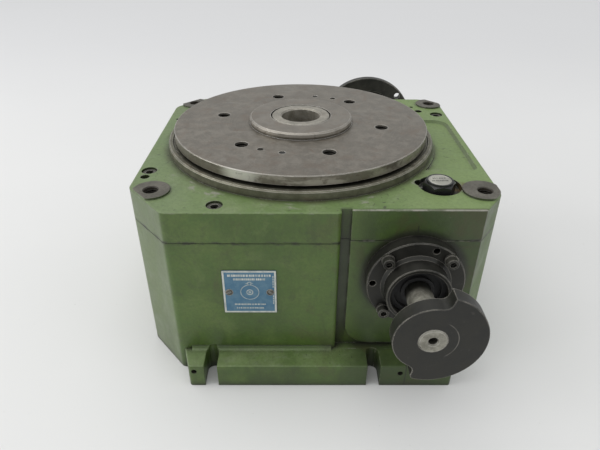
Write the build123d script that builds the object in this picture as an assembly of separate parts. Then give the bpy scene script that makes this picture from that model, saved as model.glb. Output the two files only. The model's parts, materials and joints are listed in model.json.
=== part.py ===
from build123d import *
import math
import os

# Rotary table drive: a worm on a cross shaft turns a bronze wheel under a round table.
# Millimetres. Z is the table's axis, z = 0 is the underside, the front face looks along -Y.

# ---- driving dimensions ----
# worm set
MODULE = 4.0
WHEEL_TEETH = 40
WORM_PITCH_R = 16.0
NORMAL_PRESSURE_DEG = 20.0
FLANK_THINNING = 0.35
WORM_LENGTH = 60.0
WHEEL_WIDTH = 24.0
WHEEL_PITCH_R = MODULE * WHEEL_TEETH / 2
SHAFT_X = WHEEL_PITCH_R + WORM_PITCH_R
SHAFT_Z = 105.0
WHEEL_Z0 = SHAFT_Z - WHEEL_WIDTH / 2
WHEEL_Z1 = SHAFT_Z + WHEEL_WIDTH / 2

# housing walls: left front wall, right pad and the channel between them
WALL_LEFT = -147.0
WALL_RIGHT = 168.0
WALL_FRONT = -150.5
WALL_BACK = 129.0
PAD_FRONT = -145.5
CHANNEL_FRONT = -142.5
CHANNEL_X0 = 32.0
CHANNEL_X1 = 40.5
PAD_Z0 = 27.0
PAD_CORNER_R = 22.0
CHANNEL_LIP_R = 3.5
# plan cuts at the four corners (along x, along y), and the rounding of their two edges
CUT_FRONT_LEFT = (36.0, 42.0)
CUT_FRONT_RIGHT = (24.0, 31.5)
CUT_BACK_LEFT = (30.0, 30.0)
CUT_BACK_RIGHT = (20.0, 20.0)
CASTING_R = 2.0
CORNER_SOFT_R = 8.0
CORNER_ROUND_R = 13.0
SPLIT_Z = 140.8
GASKET_T = 0.5
COVER_Z0 = SPLIT_Z + GASKET_T
COVER_TOP = 170.0
COVER_EDGE_R = 2.4
FLOOR_T = 14.0
FLOOR_RING_R = 60.0
FLOOR_RING_TOP = FLOOR_T + 4.0
WALL_T = 11.0
FRONT_INNER = PAD_FRONT + 3.5
COVER_PLATE_T = 12.0

# feet
FOOT_X0 = -100.5
FOOT_X1 = 137.0
FOOT_OUT = 22.5
FOOT_H = 24.0
FOOT_ROOT_R = 4.0
FOOT_ROOT_IN = 9.5
SLOT_W = 12.0
SLOT_XS = (-81.0, 66.0)
FOOT_TAP_SPOTS = ((-96.0, 17.5), (90.0, 15.3))
FOOT_TAP_R = 2.5
FEET = {"front": (-1, WALL_FRONT), "rear": (1, WALL_BACK)}

# corner pads with tapped holes: radius of each pad and how far it sits nearer the table than its hole,
# in the order front left, back left, front right, back right
CORNER_CX = 14.2
CORNER_CY = -3.2
CORNER_DX = 281.0
CORNER_DY = 223.0
CORNER_TAP_R = 6.0
CORNER_TAP_DEPTH = 24.0
CORNER_TAP_MOUTH_R = 6.8
CORNER_METAL_R = 18.0
CORNER_PADS = ((15.8, 0.3), (14.8, 0.3), (16.8, 1.5), (14.8, 0.3))
CORNER_PAD_H = 1.6

# cover fixings
COVER_SCREW_SPOTS = (
    (-70.0, -137.5), (-137.0, -75.0), (156.5, 74.0), (-104.0, 115.5), (-30.0, 120.5), (40.0, 120.5),
)
COVER_DOWEL_SPOTS = ((-138.0, -87.5), (138.0, 84.5))
COVER_TAP_SPOTS = ((-137.0, 56.0), (132.5, 99.0))
COVER_SCREW_D = 8.0
COVER_SCREW_SINK = 9.5
COVER_SINK_R = 6.9
COVER_CLEAR_R = 4.4
COVER_DOWEL_R = 4.0
COVER_DOWEL_DEPTH = 3.0
COVER_TAP_R = 2.1
BOSS_AROUND_SCREW = 11.0

# sunk panel beside the table
PANEL_DEPTH = 2.4
PANEL_X0 = 60.0
PANEL_X1 = 162.0
PANEL_Y0 = -72.0
PANEL_Y1 = 55.0
PANEL_REAR_R = 15.0
PANEL_FRONT_R = 5.0
PANEL_SLOPE = 2.2

# oil filler and drain
PLUG_X = 118.3
PLUG_Y = -105.0
PLUG_RECESS_R = 18.5
PLUG_RECESS_DEPTH = 5.0
PLUG_RECESS_CENTRE = (119.5, -103.0)
PLUG_BORE_R = 8.2
PLUG_HEX_R = 14.2
PLUG_HEX_H = 10.0
PLUG_COLLAR_R = 11.2
PLUG_COLLAR_H = 1.6
PLUG_DISC_R = 10.0
DRAIN_Y = -20.0
DRAIN_Z = 26.0
DRAIN_R = 6.5
DRAIN_HEX_R = 9.5
DRAIN_HEX_H = 7.0
DRAIN_WASHER_R = 10.0
DRAIN_WASHER_T = 1.5

# nameplate
PLATE_X = -44.0
PLATE_Z = 91.5
PLATE_W = 45.9
PLATE_H = 45.7
PLATE_T = 0.8
PLATE_SCREW_X = PLATE_W / 2 - 4.9
PLATE_SCREW_R = 1.3
PLATE_HEAD_R = 3.0

# table
TABLE_R = 125.0
TABLE_TOP = 189.5
TABLE_T = 9.0
TABLE_UNDER = TABLE_TOP - TABLE_T
BOSS_R = 51.0
BOSS_H = 6.5
BOSS_TOP = TABLE_TOP + BOSS_H
TABLE_TAP_PCR = 81.0
TABLE_TAP_R = 5.1
TABLE_TAP_MOUTH_R = 6.5
TABLE_TAP_PHASE = -12.0
TABLE_DOWEL_PCR = 80.0
TABLE_DOWEL_R = 3.0
TABLE_DOWEL_PHASE = 63.0
TABLE_PLUG_PHASE = 78.0
TABLE_HOLE_DEPTH = 8.0
TABLE_SCREW_PCR = 66.0
TABLE_SCREW_D = 6.0

# centre column
COLUMN_R = 29.0
COLUMN_BORE_R = 19.0
COLUMN_GAP = 1.0
COLUMN_FLANGE_R = 55.0
COLUMN_FLANGE_Z0 = FLOOR_RING_TOP
COLUMN_FLANGE_Z1 = COLUMN_FLANGE_Z0 + 10.0
COLUMN_SHOULDER_R = COLUMN_R + 4.0
COLUMN_SCREW_PCR = 46.0
COLUMN_SCREW_D = 8.0

# retaining ring round the table, with a flat at the back flush with the wall
RING_R = 131.5
RING_TOP = 178.5
RING_INNER_R = 94.0
RING_LIP_W = 4.0
RING_STEP_R = 118.0
RING_SCREW_PCR = 112.0
RING_SCREW_D = 5.0
RING_SCREW_SINK_Z = COVER_TOP + 2.5
RING_FLAT_Y = WALL_BACK - 0.8
FELT_W = 6.0
FELT_SEAT_Z = RING_TOP - 4.0

# main bearing
MAIN_OUT_R = 95.0
MAIN_IN_R = 75.0
MAIN_Z0 = 150.0
MAIN_W = 20.0
MAIN_BALL_D = 11.0
MAIN_BALLS = 36
MAIN_SHOULDER_R = MAIN_OUT_R - 7.0

# lower bearing
LOWER_OUT_R = 41.0
LOWER_Z0 = 40.0
LOWER_W = 13.0
LOWER_BALL_D = 6.5
LOWER_BALLS = 26

# hub between the two bearings, carrying the wheel
HUB_BORE_R = COLUMN_R + COLUMN_GAP
HUB_R = 50.0
HUB_FLANGE_R = 66.0
HUB_FLANGE_T = 12.0
HUB_TOP_R = 91.0
WHEEL_SCREW_PCR = 58.0
WHEEL_SCREW_D = 6.0
CLAMP_T = 8.0
CLAMP_R = 82.0
CLAMP_IN_R = 60.0
CLAMP_SCREW_PCR = 68.0
CLAMP_SCREW_D = 5.0
CLAMP_SINK = 5.2

# cross shaft
SHAFT_R = 11.0
SEAT_R = 12.5
SHOULDER_R = 16.0
SHAFT_FRONT_END = -224.5
SHAFT_REAR_END = 234.0
SHAFT_TAP_R = 3.4
SHAFT_TAP_DEPTH = 14.0
SHAFT_COUNTERSINK_R = 4.6
SPIGOT_L = 14.5
WORM_BEARING_R = 26.0
WORM_BEARING_W = 15.0
WORM_BALL_D = 7.9
WORM_BALLS = 9
WORM_TUNNEL_R = WORM_BEARING_R + 9.0
FRONT_BEARING_Y = PAD_FRONT + SPIGOT_L
REAR_BEARING_Y = WALL_BACK - SPIGOT_L - WORM_BEARING_W

# shaft flanges and seals
FLANGE_R = 41.4
FLANGE_T = 12.0
FLANGE_HUB_R = 27.0
FLANGE_HUB_L = 16.0
FLANGE_BORE_R = SHAFT_R + 2.5
FLANGE_PCR = 36.3
FLANGE_SCREW_D = 6.0
FLANGE_SCREW_PHASE = 45.0
FLANGE_WASHER_R = 5.6
FLANGE_WASHER_T = 2.0
FLANGE_JACK_R = 2.9
FLANGE_JACK_ANGLES = (69.0, 178.0, 292.0)
SEAL_R = 23.5
SEAL_W = 7.0
SEAL_SEAT = 14.0

# cam at the front, disc at the rear, keys on the side away from +X
CAM_FRONT = -223.5
CAM_T = 12.5
CAM_BIG_R = 41.0
CAM_SMALL_R = 30.0
CAM_LOBE_START = -110.0
CAM_LOBE_END = 74.0
CAM_STEP_R = 6.0
CAM_TIP_R = 4.0
CAM_FACE_COVER = 3.5
REAR_DISC_Y = 222.0
REAR_DISC_T = 9.0
REAR_DISC_R = 64.0
REAR_DISC_HUB_R = 19.0
REAR_DISC_HUB_L = 16.0
REAR_RECESS = (46.0, 24.0, 2.5)
REAR_HOLE_R = 4.0
REAR_HOLE_PCR = 57.5
REAR_HOLE_ANGLE = 43.0
KEY_W = 6.0
KEY_TOP = 13.5
KEY_BOTTOM = 7.5
CAM_KEY_SPAN = (CAM_FRONT + CAM_FACE_COVER, CAM_FRONT + CAM_T + 6.0)
REAR_KEY_SPAN = (REAR_DISC_Y - 14.0, REAR_DISC_Y + 6.0)

# screws: head and tapped-hole radius as shares of the nominal diameter, clearance added to its half
HEAD_RATIO = 0.82
THREAD_RATIO = 0.42
CLEAR = 0.3

# running gap across every joint fit, and the play of a seated piece
GAP = 0.05
EPS = 0.02
# how far a cutter passes beyond the face that it opens
OVER = 1.0

# tooth proportions
LEAD_ANGLE = math.atan(MODULE / (2 * WORM_PITCH_R))
WORM_TIP_R = WORM_PITCH_R + MODULE
WORM_ROOT_R = WORM_PITCH_R - 1.25 * MODULE
AXIAL_PITCH = math.pi * MODULE
AXIAL_ANGLE = math.atan(math.tan(math.radians(NORMAL_PRESSURE_DEG)) / math.cos(LEAD_ANGLE))


# ---- helpers ----
def tube(outer, inner, z0, z1):
    shape = Pos(0, 0, (z0 + z1) / 2) * Cylinder(outer, z1 - z0)
    if inner > 0:
        shape -= Pos(0, 0, (z0 + z1) / 2) * Cylinder(inner, z1 - z0 + 2 * OVER)
    return shape


def turned(points):
    """Solid of revolution about Z from (radius, z) corner points."""
    outline = Polyline(*[(r, 0, z) for r, z in points], close=True)
    return revolve(make_face(outline), Axis.Z)


def on_shaft(shape):
    """Turn a shape made about +Z onto the cross shaft, so that its +Z becomes +Y."""
    return Pos(SHAFT_X, 0, SHAFT_Z) * Rot(-90, 0, 0) * shape


def unmoved(shape):
    return shape


def ring_of(shape, radius, count, phase=0.0):
    """Copies of a shape around Z at a radius."""
    return [Rot(0, 0, phase + 360 * i / count) * Pos(radius, 0, 0) * shape for i in range(count)]


def drop(points, shape):
    return [Pos(x, y, 0) * shape for x, y in points]


def less(shape, cutters):
    for cutter in cutters:
        shape -= cutter
    return shape


def box_span(x0, x1, y0, y1, z0, z1):
    centre = Pos((x0 + x1) / 2, (y0 + y1) / 2, (z0 + z1) / 2)
    return centre * Box(x1 - x0, y1 - y0, z1 - z0)


def tapped(d):
    return THREAD_RATIO * d


def clear(d):
    return d / 2 + CLEAR


def cap_screw(d, seat_z, grip_z, end_z):
    """Socket-head screw along Z: head on seat_z, plain to grip_z, thread core to end_z."""
    side = 1 if seat_z > end_z else -1
    top = seat_z + side * d
    head = tube(HEAD_RATIO * d, 0, min(seat_z, top), max(seat_z, top))
    crown = head.edges().filter_by(GeomType.CIRCLE).sort_by(Axis.Z)[-1 if side > 0 else 0]
    head = chamfer(crown, 0.08 * d)
    low, high = sorted((grip_z, seat_z))
    shank = tube(d / 2, 0, low, high)
    low, high = sorted((end_z, grip_z))
    thread = tube(tapped(d) - EPS, 0, low, high)
    socket = extrude(RegularPolygon(0.48 * d, 6), 0.6 * d)
    socket_z = top - 0.55 * d if side > 0 else top - 0.05 * d
    return head + shank + thread - Pos(0, 0, socket_z) * socket


def save(name, shape):
    if isinstance(shape, (list, tuple)):
        shape = Compound(children=list(shape))
    export_step(shape, f"parts/{name}.step")


# ---- ball bearings ----
def ball_bearing(name, outer_r, inner_r, z0, width, ball_d, count, place):
    """Outer ring, inner ring, balls and cage about Z, each moved by place and saved."""
    mid_r = (outer_r + inner_r) / 2
    mid_z = z0 + width / 2
    land = 0.30 * ball_d
    groove = Pos(0, 0, mid_z) * Torus(mid_r, ball_d / 2 + GAP)
    save(f"{name}_outer_ring", place(tube(outer_r, mid_r + land, z0, z0 + width) - groove))
    save(f"{name}_inner_ring", place(tube(mid_r - land, inner_r, z0, z0 + width) - groove))
    balls = ring_of(Pos(0, 0, mid_z) * Sphere(ball_d / 2), mid_r, count)
    save(f"{name}_balls", [place(ball) for ball in balls])
    half_band = 0.12 * ball_d
    half_cage = 0.66 * ball_d
    cage = tube(mid_r + half_band, mid_r - half_band, mid_z - half_cage, mid_z + half_cage)
    pocket = Pos(0, 0, mid_z) * Rot(0, 90, 0) * Cylinder(ball_d / 2 + 3 * GAP, ball_d)
    cage = less(cage, ring_of(pocket, mid_r, count))
    save(f"{name}_cage", place(cage))


# ---- housing ----
def rounded_corner(outline, x, y, radius):
    """Round the corner of a plan outline that lies nearest to (x, y)."""
    corner = outline.vertices().sort_by_distance((x, y, 0))[0]
    return fillet(corner, radius)


def wall_outline(inset, front):
    """Plan outline of the walls, moved inwards by inset, with a given front plane."""
    x0, x1 = WALL_LEFT + inset, WALL_RIGHT - inset
    y0, y1 = front + inset, WALL_BACK - inset
    # moving a slanted side inwards shortens its cut
    trim = inset * math.tan(math.radians(22.5))
    fl, fr, br, bl = (
        [length - trim for length in cut]
        for cut in (CUT_FRONT_LEFT, CUT_FRONT_RIGHT, CUT_BACK_RIGHT, CUT_BACK_LEFT)
    )
    rounded = max(CORNER_ROUND_R - inset, CASTING_R)
    soft = max(CORNER_SOFT_R - inset, CASTING_R)
    corners = [
        (x0, y0 + fl[1], rounded), (x0 + fl[0], y0, soft), (x1 - fr[0], y0, CASTING_R), (x1, y0 + fr[1], rounded),
        (x1, y1 - br[1], soft), (x1 - br[0], y1, soft), (x0 + bl[0], y1, soft), (x0, y1 - bl[1], rounded),
    ]
    outline = make_face(Polyline(*[(x, y) for x, y, _ in corners], close=True))
    for x, y, radius in corners:
        outline = rounded_corner(outline, x, y, radius)
    return outline


def walls(inset, z0, z1, front=WALL_FRONT):
    return Pos(0, 0, z0) * extrude(wall_outline(inset, front), z1 - z0)


def front_steps(shape, z0, z1):
    """Set the right pad and the channel round it back from the left front wall."""
    beyond = WALL_RIGHT + 5 * OVER
    recess = box_span(CHANNEL_X0, beyond, WALL_FRONT - OVER, CHANNEL_FRONT, z0, z1)
    pad = box_span(CHANNEL_X1, beyond + OVER, PAD_FRONT, CHANNEL_FRONT + OVER, PAD_Z0, COVER_TOP + 9 * OVER)
    corner = pad.edges().filter_by(Axis.Y).group_by(Axis.X)[0].sort_by(Axis.Z)[0]
    pad = fillet(corner, PAD_CORNER_R)
    shape -= recess - pad
    lip = shape.edges().filter_by(Axis.Z).filter_by_position(Axis.X, CHANNEL_X0 - 0.1, CHANNEL_X0 + 0.1)
    return fillet(lip.group_by(Axis.Y)[0], CHANNEL_LIP_R)


def corner_spots():
    xs = (CORNER_CX - CORNER_DX / 2, CORNER_CX + CORNER_DX / 2)
    ys = (CORNER_CY - CORNER_DY / 2, CORNER_CY + CORNER_DY / 2)
    return [(x, y) for x in xs for y in ys]


def solid_corners(hollow):
    """Leave metal in a hollow around the corner taps, cover screws and dowels."""
    hollow = less(hollow, drop(corner_spots(), tube(CORNER_METAL_R, 0, -OVER, TABLE_TOP)))
    return less(hollow, drop(COVER_SCREW_SPOTS + COVER_DOWEL_SPOTS, tube(BOSS_AROUND_SCREW, 0, -OVER, TABLE_TOP)))


def foot_block(sign, wall_y):
    """Bar of a clamping foot along one wall, tapered in plan at both ends, and its rounded root."""
    out = wall_y + sign * FOOT_OUT
    root = wall_y - sign * FOOT_ROOT_IN
    outline = Polyline((FOOT_X0 - 10, root), (FOOT_X0, out), (FOOT_X1, out), (FOOT_X1 + 7, root), close=True)
    block = extrude(make_face(outline), FOOT_H)
    outer = 0 if sign < 0 else -1
    block = fillet(block.edges().filter_by(Axis.Z).group_by(Axis.Y)[outer], 3.0)
    block = fillet(block.edges().group_by(Axis.Y)[outer].sort_by(Axis.Z)[-1], 1.5)
    r = FOOT_ROOT_R
    y0, y1 = sorted((wall_y, wall_y + sign * r))
    weld = box_span(FOOT_X0, FOOT_X1, y0, y1, FOOT_H, FOOT_H + r)
    weld -= Pos(0, wall_y + sign * r, FOOT_H + r) * Rot(0, 90, 0) * Cylinder(r, 3 * FOOT_X1)
    return block, weld


def foot_slots(sign, wall_y):
    inner = wall_y + sign * (SLOT_W / 2 - 1.0)
    y_low, y_high = sorted((inner, wall_y + sign * (FOOT_OUT + 5)))
    top = FOOT_H + FOOT_ROOT_R + OVER
    cutters = []
    for x in SLOT_XS:
        cutters.append(Pos(x, inner, 0) * tube(SLOT_W / 2, 0, -OVER, top))
        cutters.append(box_span(x - SLOT_W / 2, x + SLOT_W / 2, y_low, y_high, -OVER, top))
    return cutters


def foot_taps():
    """Tapped holes in the front foot's outer face."""
    y = WALL_FRONT - FOOT_OUT
    return [Pos(x, y + 6, z) * Rot(90, 0, 0) * Cylinder(FOOT_TAP_R, 14) for x, z in FOOT_TAP_SPOTS]


def foot_casting(side):
    """Whole foot without its holes, from its outer face to its root inside the wall."""
    sign, wall_y = FEET[side]
    block, weld = foot_block(sign, wall_y)
    if side == "front":
        weld -= box_span(CHANNEL_X0 - CHANNEL_LIP_R, FOOT_X1, WALL_FRONT - 9, WALL_FRONT, FOOT_H, PAD_Z0 + 9)
    return block + weld


def beyond_wall(side):
    """Space in front of one wall's face, as high as the foot there."""
    sign, wall_y = FEET[side]
    y0, y1 = sorted((wall_y, wall_y + 2 * sign * FOOT_OUT))
    return box_span(2 * FOOT_X0, 2 * FOOT_X1, y0, y1, -OVER, FOOT_H + FOOT_ROOT_R + OVER)


def clamping_foot(side):
    """The foot outside its wall's face, cut into three by its two open slots."""
    return less(foot_casting(side) & beyond_wall(side), foot_slots(*FEET[side]))


def front_foot():
    return less(clamping_foot("front"), foot_taps())


def rear_foot():
    return clamping_foot("rear")


def shaft_bores():
    """Bearing seats and through passages for the cross shaft."""
    front = tube(WORM_BEARING_R, 0, PAD_FRONT - 10, FRONT_BEARING_Y + WORM_BEARING_W)
    rear = tube(WORM_BEARING_R, 0, REAR_BEARING_Y, WALL_BACK + 10)
    middle = tube(WORM_BEARING_R - 4, 0, FRONT_BEARING_Y, REAR_BEARING_Y + WORM_BEARING_W)
    return [on_shaft(front), on_shaft(rear), on_shaft(middle)]


def flange_taps(y0, y1):
    tap = tube(tapped(FLANGE_SCREW_D), 0, y0, y1)
    return [on_shaft(piece) for piece in ring_of(tap, FLANGE_PCR, 4, FLANGE_SCREW_PHASE)]


def housing_body():
    shell = front_steps(walls(0, 0, SPLIT_Z), -OVER, SPLIT_Z + OVER)
    # the front foot's root, which closes the step back to the channel and the right pad
    root = box_span(CHANNEL_X0 - 12, FOOT_X1 + 10, WALL_FRONT, WALL_FRONT + FOOT_ROOT_IN, 0, FOOT_H)
    shell += foot_casting("front") & root
    hollow = solid_corners(walls(WALL_T, FLOOR_T, SPLIT_Z + OVER, FRONT_INNER))
    # tunnels that carry the worm bearings, and the raised ring under the centre column
    hollow -= on_shaft(tube(WORM_TUNNEL_R, 0, PAD_FRONT, FRONT_BEARING_Y + WORM_BEARING_W + 4))
    hollow -= on_shaft(tube(WORM_TUNNEL_R, 0, REAR_BEARING_Y - 4, WALL_BACK))
    hollow -= tube(FLOOR_RING_R, 0, 0, FLOOR_RING_TOP)
    shell -= hollow
    shell = less(shell, shaft_bores())
    for sign, wall_y in FEET.values():
        shell = less(shell, foot_slots(sign, wall_y))
    shell -= tube(COLUMN_R + EPS, 0, -OVER, FLOOR_RING_TOP + OVER)
    column_tap = tube(tapped(COLUMN_SCREW_D), 0, 4, FLOOR_RING_TOP + OVER)
    shell = less(shell, ring_of(column_tap, COLUMN_SCREW_PCR, 6))
    cover_tap = tube(tapped(COVER_SCREW_D), 0, SPLIT_Z - 24, SPLIT_Z + OVER)
    shell = less(shell, drop(COVER_SCREW_SPOTS, cover_tap))
    shell = less(shell, drop(COVER_DOWEL_SPOTS, tube(COVER_DOWEL_R, 0, SPLIT_Z - 14, SPLIT_Z + OVER)))
    shell = less(shell, flange_taps(PAD_FRONT - OVER, PAD_FRONT + 14))
    shell = less(shell, flange_taps(WALL_BACK - 14, WALL_BACK + OVER))
    shell -= on_right_wall(Cylinder(DRAIN_R, 3 * WALL_T))
    for dx in (-PLATE_SCREW_X, PLATE_SCREW_X):
        shell -= Pos(PLATE_X + dx, WALL_FRONT + 4, PLATE_Z) * Rot(90, 0, 0) * Cylinder(PLATE_SCREW_R, 10)
    return shell


def corner_pads():
    """Raised round pads on the cover's corners, kept within the walls."""
    pads = []
    for (x, y), (radius, shift) in zip(corner_spots(), CORNER_PADS):
        nearer_x = x - math.copysign(shift, x)
        nearer_y = y - math.copysign(shift, y)
        pads.append(Pos(nearer_x, nearer_y, 0) * tube(radius, 0, COVER_TOP - 3, COVER_TOP + CORNER_PAD_H))
    return [pad & walls(0.6, COVER_Z0, TABLE_TOP) for pad in pads]


def mouth(tap_r, mouth_r, top):
    """Cutter for the chamfered mouth of a tapped hole in a face at height top."""
    depth = mouth_r - tap_r
    return Pos(0, 0, top - depth / 2) * Cone(tap_r, mouth_r, depth)


def oil_recess():
    """Round recess for the filler plug, with a small lobe on its left side."""
    x, y = PLUG_RECESS_CENTRE
    z0 = COVER_TOP - PLUG_RECESS_DEPTH
    recess = Pos(x, y, 0) * tube(PLUG_RECESS_R, 0, z0, COVER_TOP + OVER)
    lobe = Pos(x - PLUG_RECESS_R + 3.5, y + 5, 0) * tube(6.0, 0, z0, COVER_TOP + OVER)
    return recess + lobe


def side_panel():
    """Shallow sunk panel beside the table, rounded at its outer corners, with sloping sides."""
    z0 = COVER_TOP - PANEL_DEPTH
    panel = box_span(PANEL_X0, PANEL_X1, PANEL_Y0, PANEL_Y1, z0, COVER_TOP + OVER)
    rear = panel.edges().filter_by(Axis.Z).sort_by_distance((PANEL_X1, PANEL_Y1, COVER_TOP))[0]
    panel = fillet(rear, PANEL_REAR_R)
    front = panel.edges().filter_by(Axis.Z).sort_by_distance((PANEL_X1, PANEL_Y0, COVER_TOP))[0]
    panel = fillet(front, PANEL_FRONT_R)
    panel = chamfer(panel.faces().sort_by(Axis.Z)[0].outer_wire().edges(), PANEL_SLOPE)
    return panel - tube(RING_R + 3, 0, z0 - OVER, COVER_TOP + 2 * OVER)


def housing_cover():
    cover = front_steps(walls(0, COVER_Z0, COVER_TOP), COVER_Z0 - OVER, COVER_TOP + OVER)
    rim = cover.faces().sort_by(Axis.Z)[-1].outer_wire().edges()
    cover = chamfer(rim.filter_by(lambda edge: edge.center().X > CHANNEL_X0 - 0.5), 0.8)
    rim = cover.faces().sort_by(Axis.Z)[-1].outer_wire().edges()
    cover = fillet(rim.filter_by(lambda edge: edge.center().X < CHANNEL_X0 - 0.5), COVER_EDGE_R)
    hollow = solid_corners(walls(WALL_T, COVER_Z0 - OVER, COVER_TOP - COVER_PLATE_T, FRONT_INNER))
    hollow -= tube(MAIN_OUT_R + 16, 0, MAIN_Z0 - 6, COVER_TOP)
    cover -= hollow
    for pad in corner_pads():
        cover += pad
    cover = less(cover, drop(corner_spots(), tube(CORNER_TAP_R, 0, COVER_TOP - CORNER_TAP_DEPTH, TABLE_TOP)))
    cover = less(cover, drop(corner_spots(), mouth(CORNER_TAP_R, CORNER_TAP_MOUTH_R, COVER_TOP + CORNER_PAD_H)))
    # bearing seat and its shoulder
    cover -= tube(MAIN_OUT_R + EPS, 0, MAIN_Z0, COVER_TOP + OVER)
    cover -= tube(MAIN_SHOULDER_R, 0, COVER_Z0 - OVER, COVER_TOP)
    # screws, dowels, retaining ring taps
    cover = less(cover, drop(COVER_SCREW_SPOTS, tube(COVER_CLEAR_R, 0, COVER_Z0 - OVER, COVER_TOP + OVER)))
    sink = tube(COVER_SINK_R, 0, COVER_TOP - COVER_SCREW_SINK, COVER_TOP + OVER)
    cover = less(cover, drop(COVER_SCREW_SPOTS, sink))
    cover = less(cover, drop(COVER_DOWEL_SPOTS, tube(COVER_DOWEL_R, 0, COVER_Z0 - OVER, COVER_TOP + OVER)))
    cover = less(cover, drop(COVER_TAP_SPOTS, tube(COVER_TAP_R, 0, COVER_TOP - 10, COVER_TOP + OVER)))
    ring_tap = tube(tapped(RING_SCREW_D), 0, COVER_TOP - 8, COVER_TOP + OVER)
    cover = less(cover, ring_of(ring_tap, RING_SCREW_PCR, 8, 15))
    cover -= oil_recess()
    cover -= Pos(PLUG_X, PLUG_Y, 0) * tube(PLUG_BORE_R, 0, COVER_Z0 - OVER, COVER_TOP)
    return cover - side_panel()


def cover_gasket():
    sheet = walls(0.4, SPLIT_Z, COVER_Z0, PAD_FRONT + 0.2)
    sheet -= solid_corners(walls(WALL_T, SPLIT_Z - OVER, COVER_Z0 + OVER, FRONT_INNER))
    channel = box_span(CHANNEL_X0 - 1, CHANNEL_X1, WALL_FRONT, CHANNEL_FRONT + 0.2, SPLIT_Z - OVER, COVER_Z0 + OVER)
    sheet -= channel
    screw_hole = tube(COVER_CLEAR_R, 0, SPLIT_Z - OVER, COVER_Z0 + OVER)
    return less(sheet, drop(COVER_SCREW_SPOTS + COVER_DOWEL_SPOTS, screw_hole))


def cover_screws():
    seat = COVER_TOP - COVER_SCREW_SINK
    return drop(COVER_SCREW_SPOTS, cap_screw(COVER_SCREW_D, seat, COVER_Z0, SPLIT_Z - 22))


def cover_dowels():
    return drop(COVER_DOWEL_SPOTS, tube(COVER_DOWEL_R - EPS, 0, SPLIT_Z - 13, COVER_TOP - COVER_DOWEL_DEPTH))


def oil_filler_plug():
    """Hexagon plug with a raised round collar that holds the disc."""
    seat = COVER_TOP - PLUG_RECESS_DEPTH
    collar_z = seat + PLUG_HEX_H
    head = Pos(0, 0, seat) * extrude(RegularPolygon(PLUG_HEX_R, 6), PLUG_HEX_H)
    crown = turned([
        (0, seat), (PLUG_HEX_R, seat), (PLUG_HEX_R, collar_z - 1.6), (PLUG_HEX_R - 2.0, collar_z), (0, collar_z),
    ])
    head &= crown
    collar = tube(PLUG_COLLAR_R, 0, collar_z, collar_z + PLUG_COLLAR_H)
    stem = tube(PLUG_BORE_R - EPS, 0, seat - 10, seat)
    plug = head + collar + stem - tube(PLUG_DISC_R, 0, collar_z + 0.5, collar_z + 3)
    return Pos(PLUG_X, PLUG_Y, 0) * plug


def oil_plug_disc():
    z0 = COVER_TOP - PLUG_RECESS_DEPTH + PLUG_HEX_H + 0.5
    return Pos(PLUG_X, PLUG_Y, 0) * tube(PLUG_DISC_R - EPS, 0, z0, z0 + 0.8)


def on_right_wall(shape):
    """Parts made with +z outwards, placed at the drain on the right wall."""
    return Pos(WALL_RIGHT, DRAIN_Y, DRAIN_Z) * Rot(0, 90, 0) * shape


def drain_plug():
    head = Pos(0, 0, DRAIN_WASHER_T) * extrude(RegularPolygon(DRAIN_HEX_R, 6), DRAIN_HEX_H)
    return on_right_wall(head + tube(DRAIN_R - EPS, 0, 2 - WALL_T, DRAIN_WASHER_T))


def drain_washer():
    return on_right_wall(tube(DRAIN_WASHER_R, DRAIN_R + 0.1, 0, DRAIN_WASHER_T))


# ---- centre column ----
def center_column():
    column = turned([
        (COLUMN_BORE_R, 0), (COLUMN_R, 0), (COLUMN_R, COLUMN_FLANGE_Z0),
        (COLUMN_FLANGE_R, COLUMN_FLANGE_Z0), (COLUMN_FLANGE_R, COLUMN_FLANGE_Z1),
        (COLUMN_SHOULDER_R, COLUMN_FLANGE_Z1), (COLUMN_SHOULDER_R, LOWER_Z0),
        (COLUMN_R, LOWER_Z0), (COLUMN_R, BOSS_TOP - 1.0), (COLUMN_R - 1.0, BOSS_TOP),
        (COLUMN_BORE_R + 1.5, BOSS_TOP), (COLUMN_BORE_R, BOSS_TOP - 1.5),
    ])
    screw_hole = tube(clear(COLUMN_SCREW_D), 0, COLUMN_FLANGE_Z0 - OVER, COLUMN_FLANGE_Z1 + OVER)
    return less(column, ring_of(screw_hole, COLUMN_SCREW_PCR, 6))


def column_screws():
    screw = cap_screw(COLUMN_SCREW_D, COLUMN_FLANGE_Z1, COLUMN_FLANGE_Z0, 5.0)
    return ring_of(screw, COLUMN_SCREW_PCR, 6)


# ---- table and hub ----
def table_holes(z0, z1):
    """Tapped holes, dowel holes and plugged holes of the table, the same in plate and hub."""
    dowel = tube(TABLE_DOWEL_R, 0, z0, z1)
    holes = ring_of(tube(TABLE_TAP_R, 0, z0, z1), TABLE_TAP_PCR, 6, TABLE_TAP_PHASE)
    holes += ring_of(dowel, TABLE_DOWEL_PCR, 2, TABLE_DOWEL_PHASE)
    return holes + ring_of(dowel, TABLE_DOWEL_PCR, 2, TABLE_PLUG_PHASE)


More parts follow.
